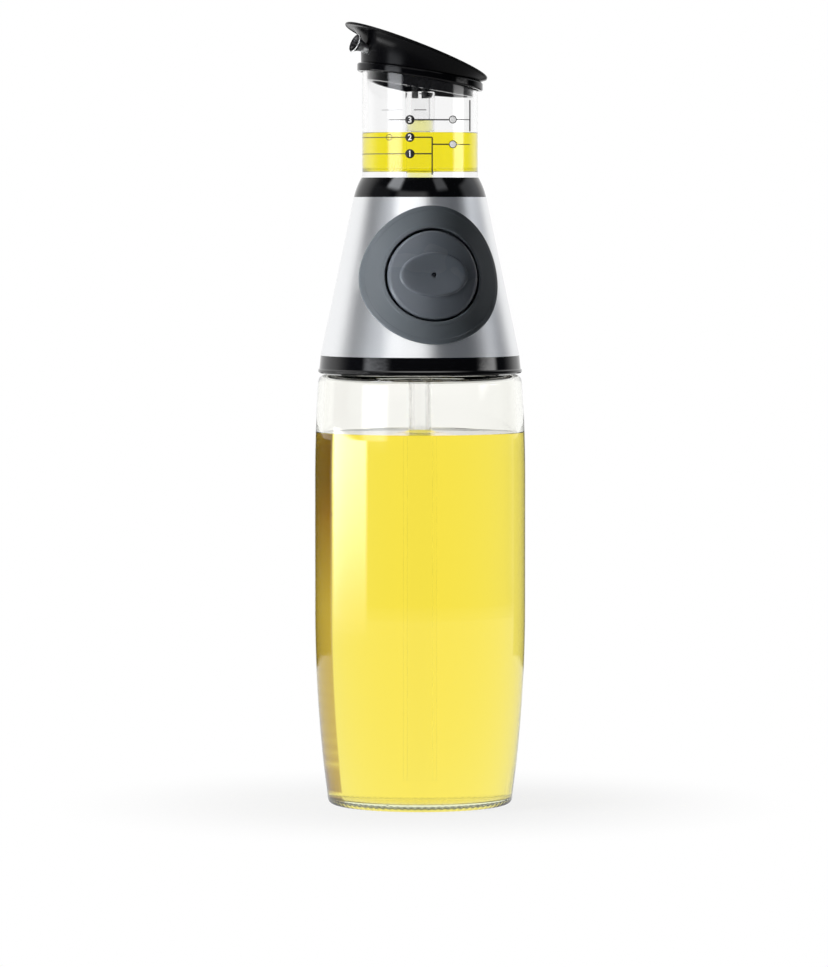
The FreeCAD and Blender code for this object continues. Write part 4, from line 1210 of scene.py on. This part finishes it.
class OILBOTTLE_OT_stage(bpy.types.Operator):
    """Camera, floor, soft lights and white backdrop."""

    bl_idname = "oilbottle.stage"
    bl_label = "Stage"

    def execute(self, context):
        s = context.scene.oilbottle_stage
        context.scene.view_settings.view_transform = "Standard"
        self.camera(context.scene, s)
        self.world(context.scene, s)
        self.floor(context.scene, s)
        self.lights(context.scene, s)
        return {"FINISHED"}

    def spot(self, s, bearing, distance):
        """Place at a bearing from the camera's side of the object; above 0 is to the camera's right."""
        a = s.azimuth + bearing
        return np.sin(a) * distance, -np.cos(a) * distance

    def camera(self, scene, s):
        """Camera at the photo's eye height and azimuth, turned until axis and horizon fall into place."""
        data = bpy.data.cameras.new("camera")
        data.sensor_fit = "HORIZONTAL"
        data.sensor_width = SENSOR_MM
        data.lens = s.focal_px * SENSOR_MM / PHOTO_W
        data.clip_end = CLIP_END
        cam = bpy.data.objects.new("camera", data)
        cam.location = (*self.spot(s, 0.0, s.distance), s.eye_z)
        pitch = math.atan((PHOTO_H / 2 - s.horizon_px) / s.focal_px)
        yaw = math.atan((s.axis_px - PHOTO_W / 2) / s.focal_px)
        cam.rotation_euler = (math.pi / 2 - pitch, 0.0, s.azimuth + yaw)
        scene.collection.objects.link(cam)
        scene.camera = cam

    def around(self, tree, direction, s):
        """Colour of the studio by direction: white behind and to the left, dark in front."""
        dark_until, white_from = 0.15, 0.65
        white_side = (*self.spot(s, s.white_bearing, 1.0), 0.0)
        side = output(tree, "ShaderNodeVectorMath", {0: direction, 1: white_side}, operation="DOT_PRODUCT")
        return blend(tree, fade(tree, side, dark_until, white_from), tuple(s.dark), tuple(s.white))

    def seen(self, tree):
        """Two outputs: 1 for rays from the camera, straight or through glass, and Is Glossy Ray.

        The first is halved once a ray has been mirrored inside the glass.
        """
        mirrored = 0.5
        path = add(tree, "ShaderNodeLightPath").outputs
        direct = combine(tree, "MAXIMUM", path["Is Camera Ray"], path["Is Transmission Ray"])
        share = between(tree, path["Glossy Depth"], 1.0, mirrored)
        return combine(tree, "MULTIPLY", direct, share), path["Is Glossy Ray"]

    def world(self, scene, s):
        """White for what camera and glass see behind; mirrors and light see the studio by direction."""
        ambient = 0.06
        world = bpy.data.worlds.new("studio")
        world.use_nodes = True
        tree = world.node_tree
        tree.nodes.clear()
        direct, glossy = self.seen(tree)
        place = add(tree, "ShaderNodeTexCoord").outputs["Generated"]
        strength = between(tree, glossy, ambient, 1.0)
        studio = {"Color": self.around(tree, place, s), "Strength": strength}
        light = output(tree, "ShaderNodeBackground", studio)
        white = output(tree, "ShaderNodeBackground", {"Color": UNCOLOURED, "Strength": 1.0})
        add(tree, "ShaderNodeOutputWorld", {"Surface": layered(tree, direct, light, white)})
        scene.world = world

    def floor(self, scene, s):
        """Round pale floor: lit and shaded near the object, white beyond; mirrors see the studio in it."""
        segments, drop = 96, -0.0002
        shadow_until, white_from, least_white = 0.03, 0.14, 0.85
        patch_until, studio_from = 0.85, 1.05
        ang = circle(segments)
        rho = np.r_[0.001, 0.05, 0.1, 0.2, 0.4, 0.7, 1.0][None] * s.floor_r
        x, y = rho * np.cos(ang), rho * np.sin(ang)
        points = np.stack([x, y, np.full_like(x, drop)], -1)
        mesh = bpy.data.meshes.new("floor")
        mesh.from_pydata(points.reshape(-1, 3).tolist(), [], grid_faces(*x.shape, True, False).tolist())
        obj = bpy.data.objects.new("floor", mesh)
        scene.collection.objects.link(obj)
        mat, tree, bsdf = shader("floor_pale")
        feed(tree, bsdf, {"Base Color": tuple(s.floor), "Roughness": 0.6, "Specular IOR Level": 0.1})
        place = add(tree, "ShaderNodeTexCoord").outputs["Object"]
        away = output(tree, "ShaderNodeVectorMath", {0: place}, operation="LENGTH")
        unit = output(tree, "ShaderNodeVectorMath", {0: place}, operation="NORMALIZE")
        direct, glossy = self.seen(tree)
        white = combine(tree, "MULTIPLY", direct, fade(tree, away, shadow_until, white_from, least_white))
        ends = {"Value": away, "From Min": patch_until, "From Max": studio_from}
        patch = output(tree, "ShaderNodeMapRange", ends)
        studio = blend(tree, patch, tuple(s.floor_seen), self.around(tree, unit, s))
        mirrored = output(tree, "ShaderNodeEmission", {"Color": studio})
        near = layered(tree, glossy, bsdf.outputs["BSDF"], mirrored)
        surface = layered(tree, white, near, output(tree, "ShaderNodeEmission"))
        feed(tree, tree.nodes["Material Output"], {"Surface": surface})
        mesh.materials.append(mat)

    def lights(self, scene, s):
        """Soft-edged panels round the object: large ones on the left, small ones on the right, dark cards.

        Each row gives a name, bearings in degrees, heights in metres, the light at foot and head, the shares
        that fade out at the left, right, foot and head, the distance and the rays that see the panel.
        """
        grey = np.ones(3)
        cool = np.array([0.97, 1.0, 1.05])
        pale, brown, black = np.array([[0.85, 0.75, 0.60], [0.27, 0.15, 0.10], [0.01, 0.001, 0.001]])
        even = (0.25, 0.25, 0.25, 0.25)
        wide = (0.22, 0.22, 0.25, 0.25)
        rising = (0.1, 0.1, 0.75, 0.03)
        veil = (0.05, 0.05, 0.05, 0.02)
        warm, dark = (0.06, 0.06, 0.5, 0.01), (0.06, 0.06, 0.004, 0.01)
        card_gap = 0.002
        near, far, card, over = s.near_r, s.panel_r, s.card_r, s.card_r - card_gap
        for name, bearings, heights, low, high, soft, distance, rays in (
            ("left_key", (-88, -42), (0.15, 0.75), 9.0 * grey, 9.0 * grey, even, far, "diffuse"),
            ("low_left", (-109, -56), (0.0, 0.138), 4.5 * grey, 10.5 * grey, rising, near, "glossy"),
            ("left_window", (-70, -32), (0.125, 0.32), 6.5 * cool, 6.5 * cool, even, far, "glossy"),
            ("left_grey", (-105, -50), (0.40, 0.95), 0.2 * cool, 0.2 * cool, even, far, "glossy"),
            ("front_left", (-50, 20), (0.40, 0.95), 1.6 * grey, 1.6 * grey, wide, far, "glossy"),
            ("high_left", (-74, -36), (0.80, 1.75), 8.0 * cool, 8.0 * cool, even, far, "glossy"),
            ("right_window", (66, 100), (0.205, 0.285), 6.0 * grey, 6.0 * grey, even, far, "glossy"),
            ("right_panel", (78, 140), (0.36, 0.95), 0.95 * cool, 0.95 * cool, even, far, "glossy"),
            ("high_right", (30, 60), (0.80, 1.75), 2.0 * cool, 2.0 * cool, even, far, "glossy"),
            ("left_veil", (-165, -111), (0.0, 0.125), 0.02 * grey, 0.02 * grey, veil, near, "glossy"),
            ("right_veil", (120, 178), (0.0, 0.125), 0.15 * grey, 0.15 * grey, veil, near, "glossy"),
            ("warm_card", (100, 142), (0.0, 0.080), pale, brown, warm, card, "transmission"),
            ("dark_card", (100, 142), (0.078, 0.116), brown, black, dark, over, "transmission"),
        ):
            u = np.linspace(0, 1, 25)[:, None]
            v = np.linspace(0, 1, 9)[None]
            x, y = self.spot(s, np.radians(bearings[0] + (bearings[1] - bearings[0]) * u), distance)
            z = heights[0] + (heights[1] - heights[0]) * v
            self.lamp(scene, (x, y, z), (u, v), self.glow(name, low, high, soft), rays)
        u = np.linspace(0, 1, 9)[:, None]
        flat = ((2 * u - 1) * s.overhead_r, (2 * u.T - 1) * s.overhead_r, s.overhead_z)
        above, faint_edge = 3.5 * grey, (0.45, 0.45, 0.45, 0.45)
        self.lamp(scene, flat, (u, u.T), self.glow("overhead", above, above, faint_edge), "glossy")

    def lamp(self, scene, points, uv, material, rays):
        """Glowing surface from grids of x, y, z in metres and of u, v, which only the named rays see."""
        x, y, z, u, v = np.broadcast_arrays(*points, *uv)
        mesh = bpy.data.meshes.new(material.name)
        faces = grid_faces(*x.shape, False, False)
        mesh.from_pydata(np.stack([x, y, z], -1).reshape(-1, 3).tolist(), [], faces.tolist())
        layer = mesh.uv_layers.new(name="panel")
        corners = np.stack([u, v], -1).reshape(-1, 2)[faces.ravel()]
        layer.data.foreach_set("uv", corners.astype(np.float32).ravel())
        obj = bpy.data.objects.new(material.name, mesh)
        scene.collection.objects.link(obj)
        mesh.materials.append(material)
        obj.visible_camera = False
        obj.visible_shadow = False
        obj.visible_diffuse = rays == "diffuse"
        obj.visible_glossy = rays == "glossy"
        obj.visible_transmission = rays == "transmission"

    def glow(self, name, low, high, soft):
        """Emission from low to high up the panel, fading out in shares at left, right, foot and head."""
        left, right, foot, head = soft
        mat, tree, bsdf = shader(name)
        tree.nodes.remove(bsdf)
        across, up = across_layer(tree, "panel")[:2]
        total = fade(tree, across, 0, left)
        for way, start, end in ((across, 1, 1 - right), (up, 0, foot), (up, 1, 1 - head)):
            total = combine(tree, "MULTIPLY", total, fade(tree, way, start, end))
        peak = float(max(low.max(), high.max()))
        shade = blend(tree, up, tuple(low / peak) + (1,), tuple(high / peak) + (1,))
        light = output(tree, "ShaderNodeEmission", {"Color": shade, "Strength": peak})
        surface = layered(tree, total, output(tree, "ShaderNodeBsdfTransparent"), light)
        feed(tree, tree.nodes["Material Output"], {"Surface": surface})
        return mat


class OILBOTTLE_PT_panel(bpy.types.Panel):
    """Buttons that build the bottle, and its sizes and colours."""

    bl_label = "Oil bottle"
    bl_idname = "OILBOTTLE_PT_panel"
    bl_space_type = "VIEW_3D"
    bl_region_type = "UI"
    bl_category = "Oil bottle"

    def draw(self, context):
        for op in OPERATORS:
            self.layout.operator(op.bl_idname)
        for name, cls in GROUPS.items():
            box = self.layout.box()
            box.label(text=cls.__doc__)
            for key in cls.__annotations__:
                box.prop(getattr(context.scene, name), key)


GROUPS = {
    "oilbottle_bottle": BottleSizes,
    "oilbottle_button": ButtonSizes,
    "oilbottle_chamber": ChamberSizes,
    "oilbottle_lid": LidSizes,
    "oilbottle_colours": BottleColours,
    "oilbottle_stage": StageSizes,
}
OPERATORS = (
    OILBOTTLE_OT_bottle,
    OILBOTTLE_OT_head,
    OILBOTTLE_OT_button,
    OILBOTTLE_OT_chamber,
    OILBOTTLE_OT_lid,
    OILBOTTLE_OT_stage,
)


def register():
    """Registers the classes and gives the scene its groups of sizes and colours."""
    for cls in (*GROUPS.values(), *OPERATORS, OILBOTTLE_PT_panel):
        bpy.utils.register_class(cls)
    for name, cls in GROUPS.items():
        setattr(bpy.types.Scene, name, bpy.props.PointerProperty(type=cls))


def unregister():
    """Takes away what register added."""
    for name in GROUPS:
        delattr(bpy.types.Scene, name)
    for cls in reversed((*GROUPS.values(), *OPERATORS, OILBOTTLE_PT_panel)):
        bpy.utils.unregister_class(cls)


def main():
    """Registers the add-on and runs its operators in order."""
    register()
    bpy.ops.oilbottle.bottle()
    bpy.ops.oilbottle.head()
    bpy.ops.oilbottle.button()
    bpy.ops.oilbottle.chamber()
    bpy.ops.oilbottle.lid()
    bpy.ops.oilbottle.stage()
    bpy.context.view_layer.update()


if __name__ == "__main__":
    main()
